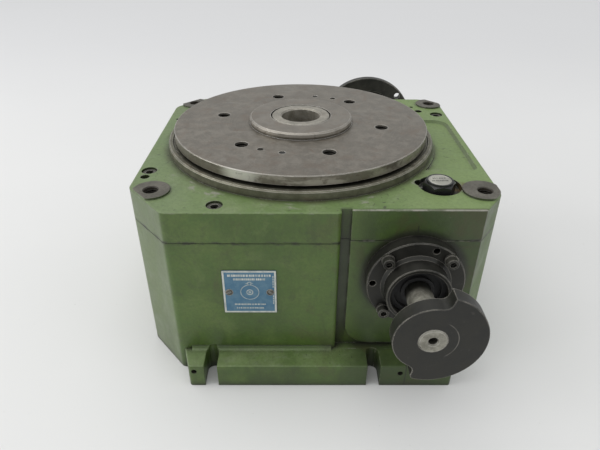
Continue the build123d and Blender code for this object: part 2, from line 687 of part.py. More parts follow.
def table_plate():
    plate = turned([
        (HUB_BORE_R, TABLE_UNDER), (TABLE_R - 0.3, TABLE_UNDER), (TABLE_R, TABLE_UNDER + 0.3),
        (TABLE_R, TABLE_TOP - 0.5), (TABLE_R - 0.5, TABLE_TOP), (BOSS_R, TABLE_TOP),
        (BOSS_R, BOSS_TOP - 1.5), (BOSS_R - 1.5, BOSS_TOP), (HUB_BORE_R, BOSS_TOP),
    ])
    plate = less(plate, table_holes(TABLE_UNDER - OVER, TABLE_TOP + OVER))
    tap_mouth = mouth(TABLE_TAP_R, TABLE_TAP_MOUTH_R, TABLE_TOP)
    plate = less(plate, ring_of(tap_mouth, TABLE_TAP_PCR, 6, TABLE_TAP_PHASE))
    screw_tap = tube(tapped(TABLE_SCREW_D), 0, TABLE_UNDER - OVER, TABLE_UNDER + 7.5)
    return less(plate, ring_of(screw_tap, TABLE_SCREW_PCR, 6))


def table_hub():
    flange_top = WHEEL_Z1 + HUB_FLANGE_T
    lower_top = LOWER_Z0 + LOWER_W
    main_top = MAIN_Z0 + MAIN_W
    hub = turned([
        (HUB_BORE_R, lower_top), (LOWER_OUT_R, lower_top), (LOWER_OUT_R, LOWER_Z0 - 2),
        (HUB_R, LOWER_Z0 - 2), (HUB_R, WHEEL_Z1), (HUB_FLANGE_R, WHEEL_Z1),
        (HUB_FLANGE_R, flange_top), (CLAMP_IN_R, flange_top),
        (CLAMP_IN_R, MAIN_Z0), (MAIN_IN_R, MAIN_Z0), (MAIN_IN_R, main_top),
        (HUB_TOP_R, main_top), (HUB_TOP_R, TABLE_UNDER), (HUB_BORE_R, TABLE_UNDER),
    ])
    hole = tube(clear(TABLE_SCREW_D), 0, MAIN_Z0 - OVER, TABLE_UNDER + OVER)
    hole += tube(0.9 * TABLE_SCREW_D, 0, MAIN_Z0 - OVER, MAIN_Z0 + 6.5)
    hub = less(hub, ring_of(hole, TABLE_SCREW_PCR, 6))
    tap = tube(tapped(WHEEL_SCREW_D), 0, WHEEL_Z1 - OVER, flange_top - OVER)
    hub = less(hub, ring_of(tap, WHEEL_SCREW_PCR, 8))
    tap = tube(tapped(CLAMP_SCREW_D), 0, MAIN_Z0 - OVER, MAIN_Z0 + 10)
    hub = less(hub, ring_of(tap, CLAMP_SCREW_PCR, 6, 30))
    return less(hub, table_holes(TABLE_UNDER - TABLE_HOLE_DEPTH, TABLE_UNDER + OVER))


def table_screws():
    screw = cap_screw(TABLE_SCREW_D, MAIN_Z0 + 6.4, TABLE_UNDER, TABLE_UNDER + 7)
    return ring_of(screw, TABLE_SCREW_PCR, 6)


def table_pins(below_top, phase):
    pin = tube(TABLE_DOWEL_R - EPS, 0, TABLE_UNDER - TABLE_HOLE_DEPTH + 0.5, TABLE_TOP - below_top)
    return ring_of(pin, TABLE_DOWEL_PCR, 2, phase)


def table_dowels():
    return table_pins(1.2, TABLE_DOWEL_PHASE)


def table_hole_plugs():
    return table_pins(0.6, TABLE_PLUG_PHASE)


def bearing_clamp_ring():
    plate = tube(CLAMP_R, CLAMP_IN_R + EPS, MAIN_Z0 - CLAMP_T, MAIN_Z0)
    hole = tube(clear(CLAMP_SCREW_D), 0, MAIN_Z0 - CLAMP_T - OVER, MAIN_Z0 + OVER)
    hole += tube(0.96 * CLAMP_SCREW_D, 0, MAIN_Z0 - CLAMP_T - OVER, MAIN_Z0 - CLAMP_T + CLAMP_SINK)
    return less(plate, ring_of(hole, CLAMP_SCREW_PCR, 6, 30))


def clamp_ring_screws():
    screw = cap_screw(CLAMP_SCREW_D, MAIN_Z0 - CLAMP_T + CLAMP_SINK, MAIN_Z0, MAIN_Z0 + 9)
    return ring_of(screw, CLAMP_SCREW_PCR, 6, 30)


def retaining_ring():
    """Fixed ring that holds the main bearing's outer race and closes the gap under the table."""
    lip_r = RING_R - RING_LIP_W
    ring = turned([
        (RING_INNER_R, COVER_TOP), (RING_R, COVER_TOP), (RING_R, RING_TOP - 1.2),
        (RING_R - 1.2, RING_TOP), (lip_r, RING_TOP), (lip_r - 1.0, RING_TOP - 1.0),
        (RING_STEP_R, RING_TOP - 1.0), (RING_STEP_R, RING_TOP), (RING_INNER_R, RING_TOP),
    ])
    ring -= tube(RING_INNER_R + FELT_W, RING_INNER_R - OVER, FELT_SEAT_Z, RING_TOP + OVER)
    hole = tube(clear(RING_SCREW_D), 0, COVER_TOP - OVER, RING_TOP + OVER)
    hole += tube(1.04 * RING_SCREW_D, 0, RING_SCREW_SINK_Z, RING_TOP + OVER)
    ring = less(ring, ring_of(hole, RING_SCREW_PCR, 8, 15))
    return ring - box_span(-RING_R, RING_R, RING_FLAT_Y, RING_R + OVER, COVER_TOP - OVER, RING_TOP + OVER)


def retaining_ring_screws():
    screw = cap_screw(RING_SCREW_D, RING_SCREW_SINK_Z, COVER_TOP, COVER_TOP - 7)
    return ring_of(screw, RING_SCREW_PCR, 8, 15)


def table_seal():
    """Felt ring in the retaining ring's groove, just clear of the table's underside."""
    return tube(RING_INNER_R + FELT_W, RING_INNER_R, FELT_SEAT_Z, TABLE_UNDER - 0.3)


# ---- worm set ----
def worm_thread():
    """Right-hand single-start thread about Z, its crest facing local +X at z = 0 before placing."""
    length = WORM_LENGTH + AXIAL_PITCH
    path = Helix(AXIAL_PITCH, length, WORM_PITCH_R)
    half = (AXIAL_PITCH / 2 - FLANK_THINNING) / 2
    slope = math.tan(AXIAL_ANGLE)
    root = WORM_ROOT_R - 0.5
    half_root = half + slope * (WORM_PITCH_R - root)
    half_tip = half - slope * MODULE
    section = make_face(Polyline(
        (root, 0, -half_root), (WORM_TIP_R, 0, -half_tip), (WORM_TIP_R, 0, half_tip), (root, 0, half_root),
        close=True,
    ))
    thread = sweep(section, path=path, is_frenet=True)
    # whole turns below z = 0 keep the crest on +X at z = 0
    turns = math.ceil(length / 2 / AXIAL_PITCH)
    return Pos(0, 0, -turns * AXIAL_PITCH) * thread


def key_shape(y0, y1, play=0.0):
    """Key along the shaft, made about Z on the -X side of the axis."""
    half = KEY_W / 2 - play
    return box_span(-KEY_TOP + 5 * play, -KEY_BOTTOM, -half, half, y0, y1)


def worm_shaft():
    half = WORM_LENGTH / 2
    run_out = 8.0
    blank = turned([
        (0, -half), (WORM_ROOT_R, -half), (WORM_TIP_R + OVER, run_out - half),
        (WORM_TIP_R + OVER, half - run_out), (WORM_ROOT_R, half), (0, half),
    ])
    thread = worm_thread() & blank
    front_shoulder = FRONT_BEARING_Y + WORM_BEARING_W
    rear_seat_end = REAR_BEARING_Y + WORM_BEARING_W + 2
    shaft = turned([
        (0, SHAFT_FRONT_END), (SHAFT_R - 1, SHAFT_FRONT_END), (SHAFT_R, SHAFT_FRONT_END + 1),
        (SHAFT_R, FRONT_BEARING_Y - 2), (SEAT_R, FRONT_BEARING_Y - 2), (SEAT_R, front_shoulder),
        (SHOULDER_R, front_shoulder), (SHOULDER_R, -half - 12), (WORM_ROOT_R, -half - 8),
        (WORM_ROOT_R, half + 8), (SHOULDER_R, half + 12), (SHOULDER_R, REAR_BEARING_Y),
        (SEAT_R, REAR_BEARING_Y), (SEAT_R, rear_seat_end),
        (SHAFT_R, rear_seat_end), (SHAFT_R, SHAFT_REAR_END - 1),
        (SHAFT_R - 1, SHAFT_REAR_END), (0, SHAFT_REAR_END),
    ])
    shaft -= tube(SHAFT_TAP_R, 0, SHAFT_FRONT_END - OVER, SHAFT_FRONT_END + SHAFT_TAP_DEPTH)
    shaft -= Pos(0, 0, SHAFT_FRONT_END + 0.5) * Cone(SHAFT_COUNTERSINK_R, SHAFT_TAP_R, 1.2)
    # the crest of the thread turns to face the wheel
    shaft += Rot(0, 0, 180) * thread
    for y0, y1 in (CAM_KEY_SPAN, REAR_KEY_SPAN):
        shaft -= key_shape(y0, y1)
    return on_shaft(shaft)


def involute(r, base):
    """Polar angle of an involute of a base circle, at radius r."""
    return math.sqrt((r / base) ** 2 - 1) - math.acos(base / r)


def worm_wheel():
    """Bronze rim with involute teeth slanted to the worm's lead."""
    tip = WHEEL_PITCH_R + MODULE
    root = WHEEL_PITCH_R - 1.2 * MODULE
    base = WHEEL_PITCH_R * math.cos(AXIAL_ANGLE)
    half_pitch = math.pi / WHEEL_TEETH

    def half_angle(r):
        return half_pitch / 2 + involute(WHEEL_PITCH_R, base) - involute(max(r, base), base)

    def at(r, angle):
        return (r * math.cos(angle), r * math.sin(angle))

    def section(z, turn):
        radii = [root, base + 0.6, WHEEL_PITCH_R, tip]
        points = []
        for i in range(WHEEL_TEETH):
            middle = turn + 2 * half_pitch * (i + 0.5)
            points += [at(r, middle - half_angle(r)) for r in radii]
            points += [at(r, middle + half_angle(r)) for r in reversed(radii)]
            points.append(at(root, middle + half_pitch))
        return Pos(0, 0, z) * make_face(Polyline(*points, close=True))

    turn = (WHEEL_WIDTH / 2) * math.tan(LEAD_ANGLE) / WHEEL_PITCH_R
    rim = loft([section(WHEEL_Z0, -turn), section(WHEEL_Z1, turn)], ruled=True)
    rim -= tube(HUB_R + EPS, 0, WHEEL_Z0 - OVER, WHEEL_Z1 + OVER)
    hole = tube(clear(WHEEL_SCREW_D), 0, WHEEL_Z0 - OVER, WHEEL_Z1 + OVER)
    hole += tube(0.9 * WHEEL_SCREW_D, 0, WHEEL_Z0 - OVER, WHEEL_Z0 + 7)
    return less(rim, ring_of(hole, WHEEL_SCREW_PCR, 8))


def worm_wheel_screws():
    screw = cap_screw(WHEEL_SCREW_D, WHEEL_Z0 + 7, WHEEL_Z1, WHEEL_Z1 + 10)
    return ring_of(screw, WHEEL_SCREW_PCR, 8)


# ---- shaft flanges ----
def shaft_flange():
    """Black end flange with seal recess, made about Z: outer side at +z, seat at z = 0."""
    spigot_r = WORM_BEARING_R - EPS
    hub_end = FLANGE_T + FLANGE_HUB_L
    flange = turned([
        (FLANGE_BORE_R, -SPIGOT_L), (spigot_r, -SPIGOT_L), (spigot_r, 0),
        (FLANGE_R, 0), (FLANGE_R, FLANGE_T - 0.8), (FLANGE_R - 0.8, FLANGE_T),
        (FLANGE_HUB_R + 2.5, FLANGE_T), (FLANGE_HUB_R, FLANGE_T + 2.5),
        (FLANGE_HUB_R, hub_end - 0.6), (FLANGE_HUB_R - 0.6, hub_end),
        (SEAL_R + 0.6, hub_end), (SEAL_R, hub_end - 0.6), (SEAL_R, SEAL_SEAT), (FLANGE_BORE_R, SEAL_SEAT),
    ])
    hole = tube(clear(FLANGE_SCREW_D), 0, -OVER, FLANGE_T + OVER)
    flange = less(flange, ring_of(hole, FLANGE_PCR, 4, FLANGE_SCREW_PHASE))
    jack = Pos(FLANGE_PCR, 0, 0) * tube(FLANGE_JACK_R, 0, -OVER, FLANGE_T + OVER)
    return less(flange, [Rot(0, 0, angle) * jack for angle in FLANGE_JACK_ANGLES])


def front_place(shape):
    """Parts made with +z outwards, placed on the right pad of the front wall."""
    return Pos(SHAFT_X, PAD_FRONT, SHAFT_Z) * Rot(90, 0, 0) * shape


def rear_place(shape):
    return Pos(SHAFT_X, WALL_BACK, SHAFT_Z) * Rot(-90, 0, 0) * shape


def flange_screws(place):
    screw = cap_screw(FLANGE_SCREW_D, FLANGE_T + FLANGE_WASHER_T, 0, -12)
    washer = tube(FLANGE_WASHER_R, FLANGE_SCREW_D / 2, FLANGE_T, FLANGE_T + FLANGE_WASHER_T)
    return [place(piece) for piece in ring_of(screw + washer, FLANGE_PCR, 4, FLANGE_SCREW_PHASE)]


def shaft_seal():
    end = SEAL_SEAT + SEAL_W
    ring = tube(SEAL_R - EPS, SHAFT_R + GAP + EPS, SEAL_SEAT, end)
    return ring - tube(SEAL_R - 4, SHAFT_R + 3, end - 3, end + OVER)


# ---- cam and rear disc ----
def cam_profile():
    """Two-radius outline: a half-turn lobe with an S-shaped step at each end."""
    start = math.radians(CAM_LOBE_START)
    end = math.radians(CAM_LOBE_END)
    reach = 2 * CAM_BIG_R
    corners = [(0, 0)]
    for share in (0, 0.25, 0.5, 0.75, 1):
        angle = start + share * (end - start)
        corners.append((reach * math.cos(angle), reach * math.sin(angle)))
    lobe = Circle(CAM_BIG_R) & make_face(Polyline(*corners, close=True))
    profile = Circle(CAM_SMALL_R) + lobe
    steps = profile.vertices().filter_by(lambda v: abs(math.hypot(v.X, v.Y) - CAM_SMALL_R) < 0.5)
    profile = fillet(steps, CAM_STEP_R)
    tips = profile.vertices().filter_by(lambda v: abs(math.hypot(v.X, v.Y) - CAM_BIG_R) < 0.5)
    return fillet(tips.sort_by(Axis.Y)[0], CAM_TIP_R)


def cam_disc():
    """Cam plate with a keyway that opens at its back only."""
    cam = extrude(cam_profile(), CAM_T)
    cam = chamfer(cam.faces().sort_by(Axis.Z)[-1].outer_wire().edges(), 0.4)
    cam -= Cylinder(SHAFT_R + EPS, 4 * CAM_T)
    cam -= key_shape(-OVER, CAM_T - CAM_FACE_COVER)
    return Pos(SHAFT_X, CAM_FRONT + CAM_T, SHAFT_Z) * Rot(90, 0, 0) * cam


def cam_key():
    return on_shaft(key_shape(*CAM_KEY_SPAN, play=EPS))


def rear_disc():
    end = REAR_DISC_Y + REAR_DISC_T
    disc = tube(REAR_DISC_R, SHAFT_R + EPS, REAR_DISC_Y, end)
    outer = disc.edges().filter_by(GeomType.CIRCLE).sort_by(SortBy.RADIUS)[-2:]
    disc = chamfer(outer, 0.8)
    recess_r, recess_in_r, recess_depth = REAR_RECESS
    disc -= tube(recess_r, recess_in_r, REAR_DISC_Y - OVER, REAR_DISC_Y + recess_depth)
    disc += tube(REAR_DISC_HUB_R, SHAFT_R + EPS, REAR_DISC_Y - REAR_DISC_HUB_L, REAR_DISC_Y)
    hole = tube(REAR_HOLE_R, 0, REAR_DISC_Y - OVER, end + OVER)
    disc -= Rot(0, 0, -REAR_HOLE_ANGLE) * Pos(REAR_HOLE_PCR, 0, 0) * hole
    disc -= key_shape(REAR_DISC_Y - REAR_DISC_HUB_L - OVER, REAR_KEY_SPAN[1])
    return on_shaft(disc)


def rear_disc_key():
    return on_shaft(key_shape(*REAR_KEY_SPAN, play=EPS))


# ---- nameplate ----
def nameplate():
    plate = box_span(-PLATE_W / 2, PLATE_W / 2, -PLATE_T, 0, -PLATE_H / 2, PLATE_H / 2)
    plate = fillet(plate.edges().filter_by(Axis.Y), 1.0)
    for dx in (-PLATE_SCREW_X, PLATE_SCREW_X):
        plate -= Pos(dx, 0, 0) * Rot(90, 0, 0) * Cylinder(PLATE_SCREW_R + CLEAR, 10)
    return Pos(PLATE_X, WALL_FRONT, PLATE_Z) * plate


def nameplate_screws():
    """Round-headed slotted screws."""
    low = 0.5 * PLATE_HEAD_R
    head = Sphere(PLATE_HEAD_R) & box_span(-4, 4, -4, 4, low, 4)
    head -= box_span(-4, 4, -0.45, 0.45, PLATE_HEAD_R - 0.8, 4)
    screw = Pos(0, 0, PLATE_T - low) * head + tube(PLATE_SCREW_R - EPS, 0, -7, PLATE_T + 0.1)
    spots = (PLATE_X - PLATE_SCREW_X, PLATE_X + PLATE_SCREW_X)
    tilts = (25.0, -35.0)
    return [
        Pos(x, WALL_FRONT, PLATE_Z) * Rot(90, 0, 0) * Rot(0, 0, tilt) * screw
        for x, tilt in zip(spots, tilts)
    ]


PIECES = {
    "housing_body": housing_body,
    "front_foot": front_foot,
    "rear_foot": rear_foot,
    "housing_cover": housing_cover,
    "cover_gasket": cover_gasket,
    "cover_screws": cover_screws,
    "cover_dowels": cover_dowels,
    "oil_filler_plug": oil_filler_plug,
    "oil_plug_disc": oil_plug_disc,
    "drain_plug": drain_plug,
    "drain_washer": drain_washer,
    "center_column": center_column,
    "column_screws": column_screws,
    "table_plate": table_plate,
    "table_hub": table_hub,
    "table_screws": table_screws,
    "table_dowels": table_dowels,
    "table_hole_plugs": table_hole_plugs,
    "bearing_clamp_ring": bearing_clamp_ring,
    "clamp_ring_screws": clamp_ring_screws,
    "retaining_ring": retaining_ring,
    "retaining_ring_screws": retaining_ring_screws,
    "table_seal": table_seal,
    "worm_shaft": worm_shaft,
    "worm_wheel": worm_wheel,
    "worm_wheel_screws": worm_wheel_screws,
    "cam_disc": cam_disc,
    "cam_key": cam_key,
    "rear_disc": rear_disc,
    "rear_disc_key": rear_disc_key,
    "nameplate": nameplate,
    "nameplate_screws": nameplate_screws,
}


def main():
    os.makedirs("parts", exist_ok=True)
    for name, make in PIECES.items():
        save(name, make())
    for side, place in (("front", front_place), ("rear", rear_place)):
        save(f"{side}_flange", place(shaft_flange()))
        save(f"{side}_flange_screws", flange_screws(place))
        save(f"{side}_shaft_seal", place(shaft_seal()))
    ball_bearing("main", MAIN_OUT_R, MAIN_IN_R, MAIN_Z0, MAIN_W, MAIN_BALL_D, MAIN_BALLS, unmoved)
    ball_bearing("lower", LOWER_OUT_R, COLUMN_R, LOWER_Z0, LOWER_W, LOWER_BALL_D, LOWER_BALLS, unmoved)
    for name, y in (("front_bearing", FRONT_BEARING_Y), ("rear_bearing", REAR_BEARING_Y)):
        ball_bearing(name, WORM_BEARING_R, SEAT_R, y, WORM_BEARING_W, WORM_BALL_D, WORM_BALLS, on_shaft)


main()
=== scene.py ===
"""Looks of the worm gear rotary table drive: materials, surface details, floor, light and camera."""
import json
import math
import random

import bmesh
import bpy
from mathutils import Matrix, Vector


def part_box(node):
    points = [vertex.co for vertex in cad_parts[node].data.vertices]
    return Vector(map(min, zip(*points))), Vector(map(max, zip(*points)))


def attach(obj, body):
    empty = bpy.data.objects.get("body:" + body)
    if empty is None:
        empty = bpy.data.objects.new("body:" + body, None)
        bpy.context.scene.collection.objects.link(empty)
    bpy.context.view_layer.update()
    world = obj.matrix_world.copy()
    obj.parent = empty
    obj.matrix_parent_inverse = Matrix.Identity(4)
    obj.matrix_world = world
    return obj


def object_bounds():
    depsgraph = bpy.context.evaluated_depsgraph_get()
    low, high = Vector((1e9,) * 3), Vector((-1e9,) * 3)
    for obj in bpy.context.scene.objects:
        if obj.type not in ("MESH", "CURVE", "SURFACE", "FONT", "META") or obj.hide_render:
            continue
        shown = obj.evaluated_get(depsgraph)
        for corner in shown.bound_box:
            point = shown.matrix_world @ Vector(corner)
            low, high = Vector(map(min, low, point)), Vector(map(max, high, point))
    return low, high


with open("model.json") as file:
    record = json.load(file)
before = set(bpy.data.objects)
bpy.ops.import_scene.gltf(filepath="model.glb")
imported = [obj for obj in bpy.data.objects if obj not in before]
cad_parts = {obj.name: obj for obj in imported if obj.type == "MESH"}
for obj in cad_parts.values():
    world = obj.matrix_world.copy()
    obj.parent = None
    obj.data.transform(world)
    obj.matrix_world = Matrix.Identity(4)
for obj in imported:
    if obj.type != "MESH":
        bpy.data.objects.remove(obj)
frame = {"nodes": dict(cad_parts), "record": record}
cad_low, cad_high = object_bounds()
nodes = frame["nodes"]
MM = 0.001


# ---- small node-building helper ----
class Shader:
    """One procedural material; most methods add nodes and return an output socket."""

    def __init__(self, name):
        self.material = bpy.data.materials.new(name)
        self.material.use_nodes = True
        self.tree = self.material.node_tree
        self.tree.nodes.clear()
        self.output = self.tree.nodes.new("ShaderNodeOutputMaterial")
        self.bsdf = self.tree.nodes.new("ShaderNodeBsdfPrincipled")
        self.tree.links.new(self.bsdf.outputs[0], self.output.inputs[0])
        self.coords = self.tree.nodes.new("ShaderNodeTexCoord").outputs["Object"]

    def put(self, socket, value):
        """Link an output socket to an input, or set its value; a colour gets full alpha."""
        if isinstance(value, bpy.types.NodeSocket):
            self.tree.links.new(value, socket)
            return
        if hasattr(value, "__len__") and len(value) == 3 and len(socket.default_value) == 4:
            value = (*value, 1.0)
        socket.default_value = value

    def node(self, kind, **settings):
        """Add a shader node and set its properties."""
        made = self.tree.nodes.new("ShaderNode" + kind)
        for key, value in settings.items():
            setattr(made, key, value)
        return made

    def scaled(self, x, y, z):
        """Object coordinates, stretched along the three axes."""
        made = self.node("Mapping")
        self.put(made.inputs["Vector"], self.coords)
        made.inputs["Scale"].default_value = (x, y, z)
        return made.outputs[0]

    def noise(self, scale, detail=4.0, rough=0.55, distort=0.0, coords=None):
        """Noise from 0 to 1, with its features about 1 / scale metres wide."""
        made = self.node("TexNoise")
        self.put(made.inputs["Vector"], coords or self.coords)
        made.inputs["Scale"].default_value = scale
        made.inputs["Detail"].default_value = detail
        made.inputs["Roughness"].default_value = rough
        made.inputs["Distortion"].default_value = distort
        return made.outputs["Fac"]

    def range(self, value, low, high, to_low=0.0, to_high=1.0):
        """Smooth step from to_low, where value is low, to to_high, where it is high."""
        made = self.node("MapRange")
        made.interpolation_type = "SMOOTHSTEP"
        self.put(made.inputs["Value"], value)
        made.inputs["From Min"].default_value = low
        made.inputs["From Max"].default_value = high
        made.inputs["To Min"].default_value = to_low
        made.inputs["To Max"].default_value = to_high
        return made.outputs["Result"]

    def math(self, operation, a, b=None, clamp=False):
        """One arithmetic operation on one or two values."""
        made = self.node("Math", operation=operation, use_clamp=clamp)
        self.put(made.inputs[0], a)
        if b is not None:
            self.put(made.inputs[1], b)
        return made.outputs[0]

    def mix(self, factor, a, b):
        """Colour a where factor is 0, b where it is 1."""
        made = self.node("Mix", data_type="RGBA")
        self.put(made.inputs["Factor"], factor)
        self.put(made.inputs[6], a)
        self.put(made.inputs[7], b)
        return made.outputs[2]

    def axes(self):
        """The object coordinates x, y and z."""
        made = self.node("SeparateXYZ")
        self.put(made.inputs[0], self.coords)
        return made.outputs[0], made.outputs[1], made.outputs[2]

    def radius(self, axis="Z", centre=(0.0, 0.0)):
        """Distance from an axis along Z or Y through centre."""
        x, y, z = self.axes()
        other = y if axis == "Z" else z
        dx = self.math("SUBTRACT", x, centre[0])
        dy = self.math("SUBTRACT", other, centre[1])
        total = self.math("ADD", self.math("MULTIPLY", dx, dx), self.math("MULTIPLY", dy, dy))
        return self.math("SQRT", total)

    def spot(self, point, inner, outer):
        """1 inside a ball of radius inner round point, 0 outside outer."""
        made = self.node("VectorMath", operation="DISTANCE")
        self.put(made.inputs[0], self.coords)
        made.inputs[1].default_value = point
        return self.range(made.outputs["Value"], inner, outer, 1.0, 0.0)

    def edge(self, size):
        """Mask of convex and concave edges, from the rounded normal."""
        bevel = self.node("Bevel", samples=6)
        bevel.inputs["Radius"].default_value = size
        true = self.node("NewGeometry").outputs["Normal"]
        dot = self.node("VectorMath", operation="DOT_PRODUCT")
        self.put(dot.inputs[0], bevel.outputs[0])
        self.put(dot.inputs[1], true)
        bend = self.math("SUBTRACT", 1.0, dot.outputs["Value"])
        return self.range(bend, 0.004, 0.10)

    def crevice(self, distance, low=0.45, high=0.92):
        """Ambient-occlusion mask for painted shade: 1 deep in corners and holes, 0 on open faces."""
        shade = self.node("AmbientOcclusion", samples=6)
        shade.inputs["Distance"].default_value = distance
        return self.range(shade.outputs["AO"], low, high, 1.0, 0.0)

    def times(self, *factors):
        """Product of all factors."""
        total = factors[0]
        for factor in factors[1:]:
            total = self.math("MULTIPLY", total, factor)
        return total

    def up(self):
        """1 on faces that look up, 0 on walls."""
        return self.facing(2, 1, 0.5, 0.9)

    def facing(self, axis, sign, low, high):
        """1 on faces that look along one world axis (0, 1, 2), 0 on those that look away."""
        made = self.node("SeparateXYZ")
        self.put(made.inputs[0], self.node("NewGeometry").outputs["Normal"])
        return self.range(self.math("MULTIPLY", made.outputs[axis], sign), low, high)

    def bump(self, height, strength, distance, normal=None):
        """Normal that shows height as relief."""
        made = self.node("Bump")
        made.inputs["Strength"].default_value = strength
        made.inputs["Distance"].default_value = distance
        self.put(made.inputs["Height"], height)
        if normal is not None:
            self.put(made.inputs["Normal"], normal)
        return made.outputs[0]

    def soft_edges(self, size):
        """Normal with its edges rounded by size."""
        bevel = self.node("Bevel", samples=4)
        bevel.inputs["Radius"].default_value = size
        return bevel.outputs[0]

    def finish(self, color, rough, metal=0.0, normal=None, specular=None):
        """Fill the surface shader in and return the material."""
        self.put(self.bsdf.inputs["Base Color"], color)
        self.put(self.bsdf.inputs["Roughness"], rough)
        self.put(self.bsdf.inputs["Metallic"], metal)
        if normal is not None:
            self.put(self.bsdf.inputs["Normal"], normal)
        if specular is not None:
            self.bsdf.inputs["Specular IOR Level"].default_value = specular
        return self.material


# ---- places read from the frame ----
def middle(box):
    """Centre of a box given by its low and high corners."""
    return (box[0] + box[1]) / 2


mounts = {mount["name"]: mount for mount in frame["record"]["mounts"]}
plate_low, plate_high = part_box("nameplate")
PLATE = middle((plate_low, plate_high))
PLUG = middle(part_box("oil_filler_plug"))
disc_low, disc_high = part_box("oil_plug_disc")
DISC_FACE = disc_high.z - 0.02 * MM
RECESS_R = 24 * MM
RING_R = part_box("retaining_ring")[1].x
COVER_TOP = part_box("retaining_ring")[0].z
BOSS_R = 51 * MM
TABLE_TOP = mounts["table_face"]["pos_m"][2]
flange_low, flange_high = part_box("front_flange")
SHAFT_X = (flange_low.x + flange_high.x) / 2
SHAFT_Z = (flange_low.z + flange_high.z) / 2
SHAFT_AXIS = (SHAFT_X, SHAFT_Z)
FLANGE_REACH = 28 * MM
PAD_FRONT = flange_low.y + FLANGE_REACH
CAM_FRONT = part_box("cam_disc")[0].y
CHANNEL_X0 = 32 * MM
CHANNEL_X1 = 40.5 * MM
FOOT_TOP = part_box("front_foot")[1].z
SPLIT_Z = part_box("housing_cover")[0].z
TABLE_TAP_PHASE = math.radians(-12.0)
TABLE_TAP_DARK_R = 6.8 * MM
CORNER_TAP_DARK_R = 6.7 * MM


def frame_at(centre, axis):
    """Matrix with its Z along axis at centre."""
    turn = Vector(axis).to_track_quat("Z", "Y").to_matrix().to_4x4()
    return Matrix.Translation(centre) @ turn


def hole_places(mount):
    """Matrices of a mount's holes: round its circle, at its four corners, or its one place."""
    centre = Vector(mount["pos_m"])
    dims = mount.get("dims", {})
    if "pcd_mm" in dims:
        reach = dims["pcd_mm"] / 2 * MM
        spots = []
        for i in range(dims["count"]):
            angle = TABLE_TAP_PHASE + 2 * math.pi * i / dims["count"]
            spots.append(centre + reach * Vector((math.cos(angle), math.sin(angle), 0)))
    elif "spacing_x_mm" in dims:
        dx = dims["spacing_x_mm"] / 2 * MM
        dy = dims["spacing_y_mm"] / 2 * MM
        spots = [centre + Vector((sx * dx, sy * dy, 0)) for sx in (-1, 1) for sy in (-1, 1)]
    else:
        spots = [centre]
    return [frame_at(spot, mount["axis"]) for spot in spots]


# ---- materials ----
# Near-black of the painted shade and grime in corners, holes and slots.
PAINT_SHADE_AND_GRIME = (0.018, 0.020, 0.010)
PAINT_CHIP_DARK = (0.18, 0.18, 0.145)
PAINT_CHIP_LIGHT = (0.34, 0.33, 0.28)


def paint_film(s, broad, patch, fine, runs):
    """Enamel colour: mottled and streaked on the walls, faded and dust-covered on what faces up; painted
    light brightens the tops at both ends and what faces left.
    """
    cloud = s.noise(75.0, 7.0, 0.72, 0.5)
    x = s.axes()[0]
    stains = s.noise(19.0, 6.0, 0.68, 0.7)
    base = s.mix(s.range(broad, 0.35, 0.65), (0.054, 0.098, 0.016), (0.080, 0.138, 0.024))
    base = s.mix(s.range(patch, 0.42, 0.72, 0.0, 0.60), base, (0.112, 0.168, 0.040))
    base = s.mix(s.range(stains, 0.54, 0.66, 0.0, 0.50), base, (0.074, 0.082, 0.028))
    base = s.mix(s.range(stains, 0.44, 0.32, 0.0, 0.45), base, (0.120, 0.170, 0.048))
    base = s.mix(s.range(runs, 0.50, 0.74, 0.0, 0.60), base, (0.042, 0.068, 0.020))
    base = s.mix(s.range(cloud, 0.50, 0.70, 0.0, 0.45), base, (0.060, 0.130, 0.022))
    base = s.mix(s.range(cloud, 0.48, 0.30, 0.0, 0.45), base, (0.046, 0.060, 0.026))
    dust_and_painted_light = s.mix(s.range(patch, 0.30, 0.70), (0.128, 0.198, 0.062), (0.186, 0.244, 0.106))
    dust_and_painted_light = s.mix(s.range(broad, 0.38, 0.62, 0.0, 0.45), dust_and_painted_light, (0.108, 0.188, 0.046))
    dust_and_painted_light = s.mix(s.range(cloud, 0.50, 0.68, 0.0, 0.50), dust_and_painted_light, (0.232, 0.276, 0.165))
    dust_and_painted_light = s.mix(s.range(stains, 0.52, 0.66, 0.0, 0.35), dust_and_painted_light, (0.118, 0.150, 0.052))
    # Lighter, greyer tops at the far left: dust with painted light.
    dust_and_painted_light = s.mix(s.range(x, -70 * MM, -110 * MM, 0.0, 0.45), dust_and_painted_light, (0.192, 0.242, 0.128))
    # Lighter tops at the far right: painted light where the table shades them.
    dust_and_painted_light = s.mix(s.range(x, 60 * MM, 110 * MM, 0.0, 0.75), dust_and_painted_light, (0.200, 0.284, 0.096))
    base = s.mix(s.math("MULTIPLY", s.up(), 0.85), base, dust_and_painted_light)
    # Faces that look left are painted lighter and greyer: painted light and reflection.
    base = s.mix(s.math("MULTIPLY", s.facing(0, -1, 0.45, 0.75), 0.55), base, (0.172, 0.205, 0.122))
    return s.mix(s.range(fine, 0.35, 0.70, 0.0, 0.20), base, (0.030, 0.044, 0.016))


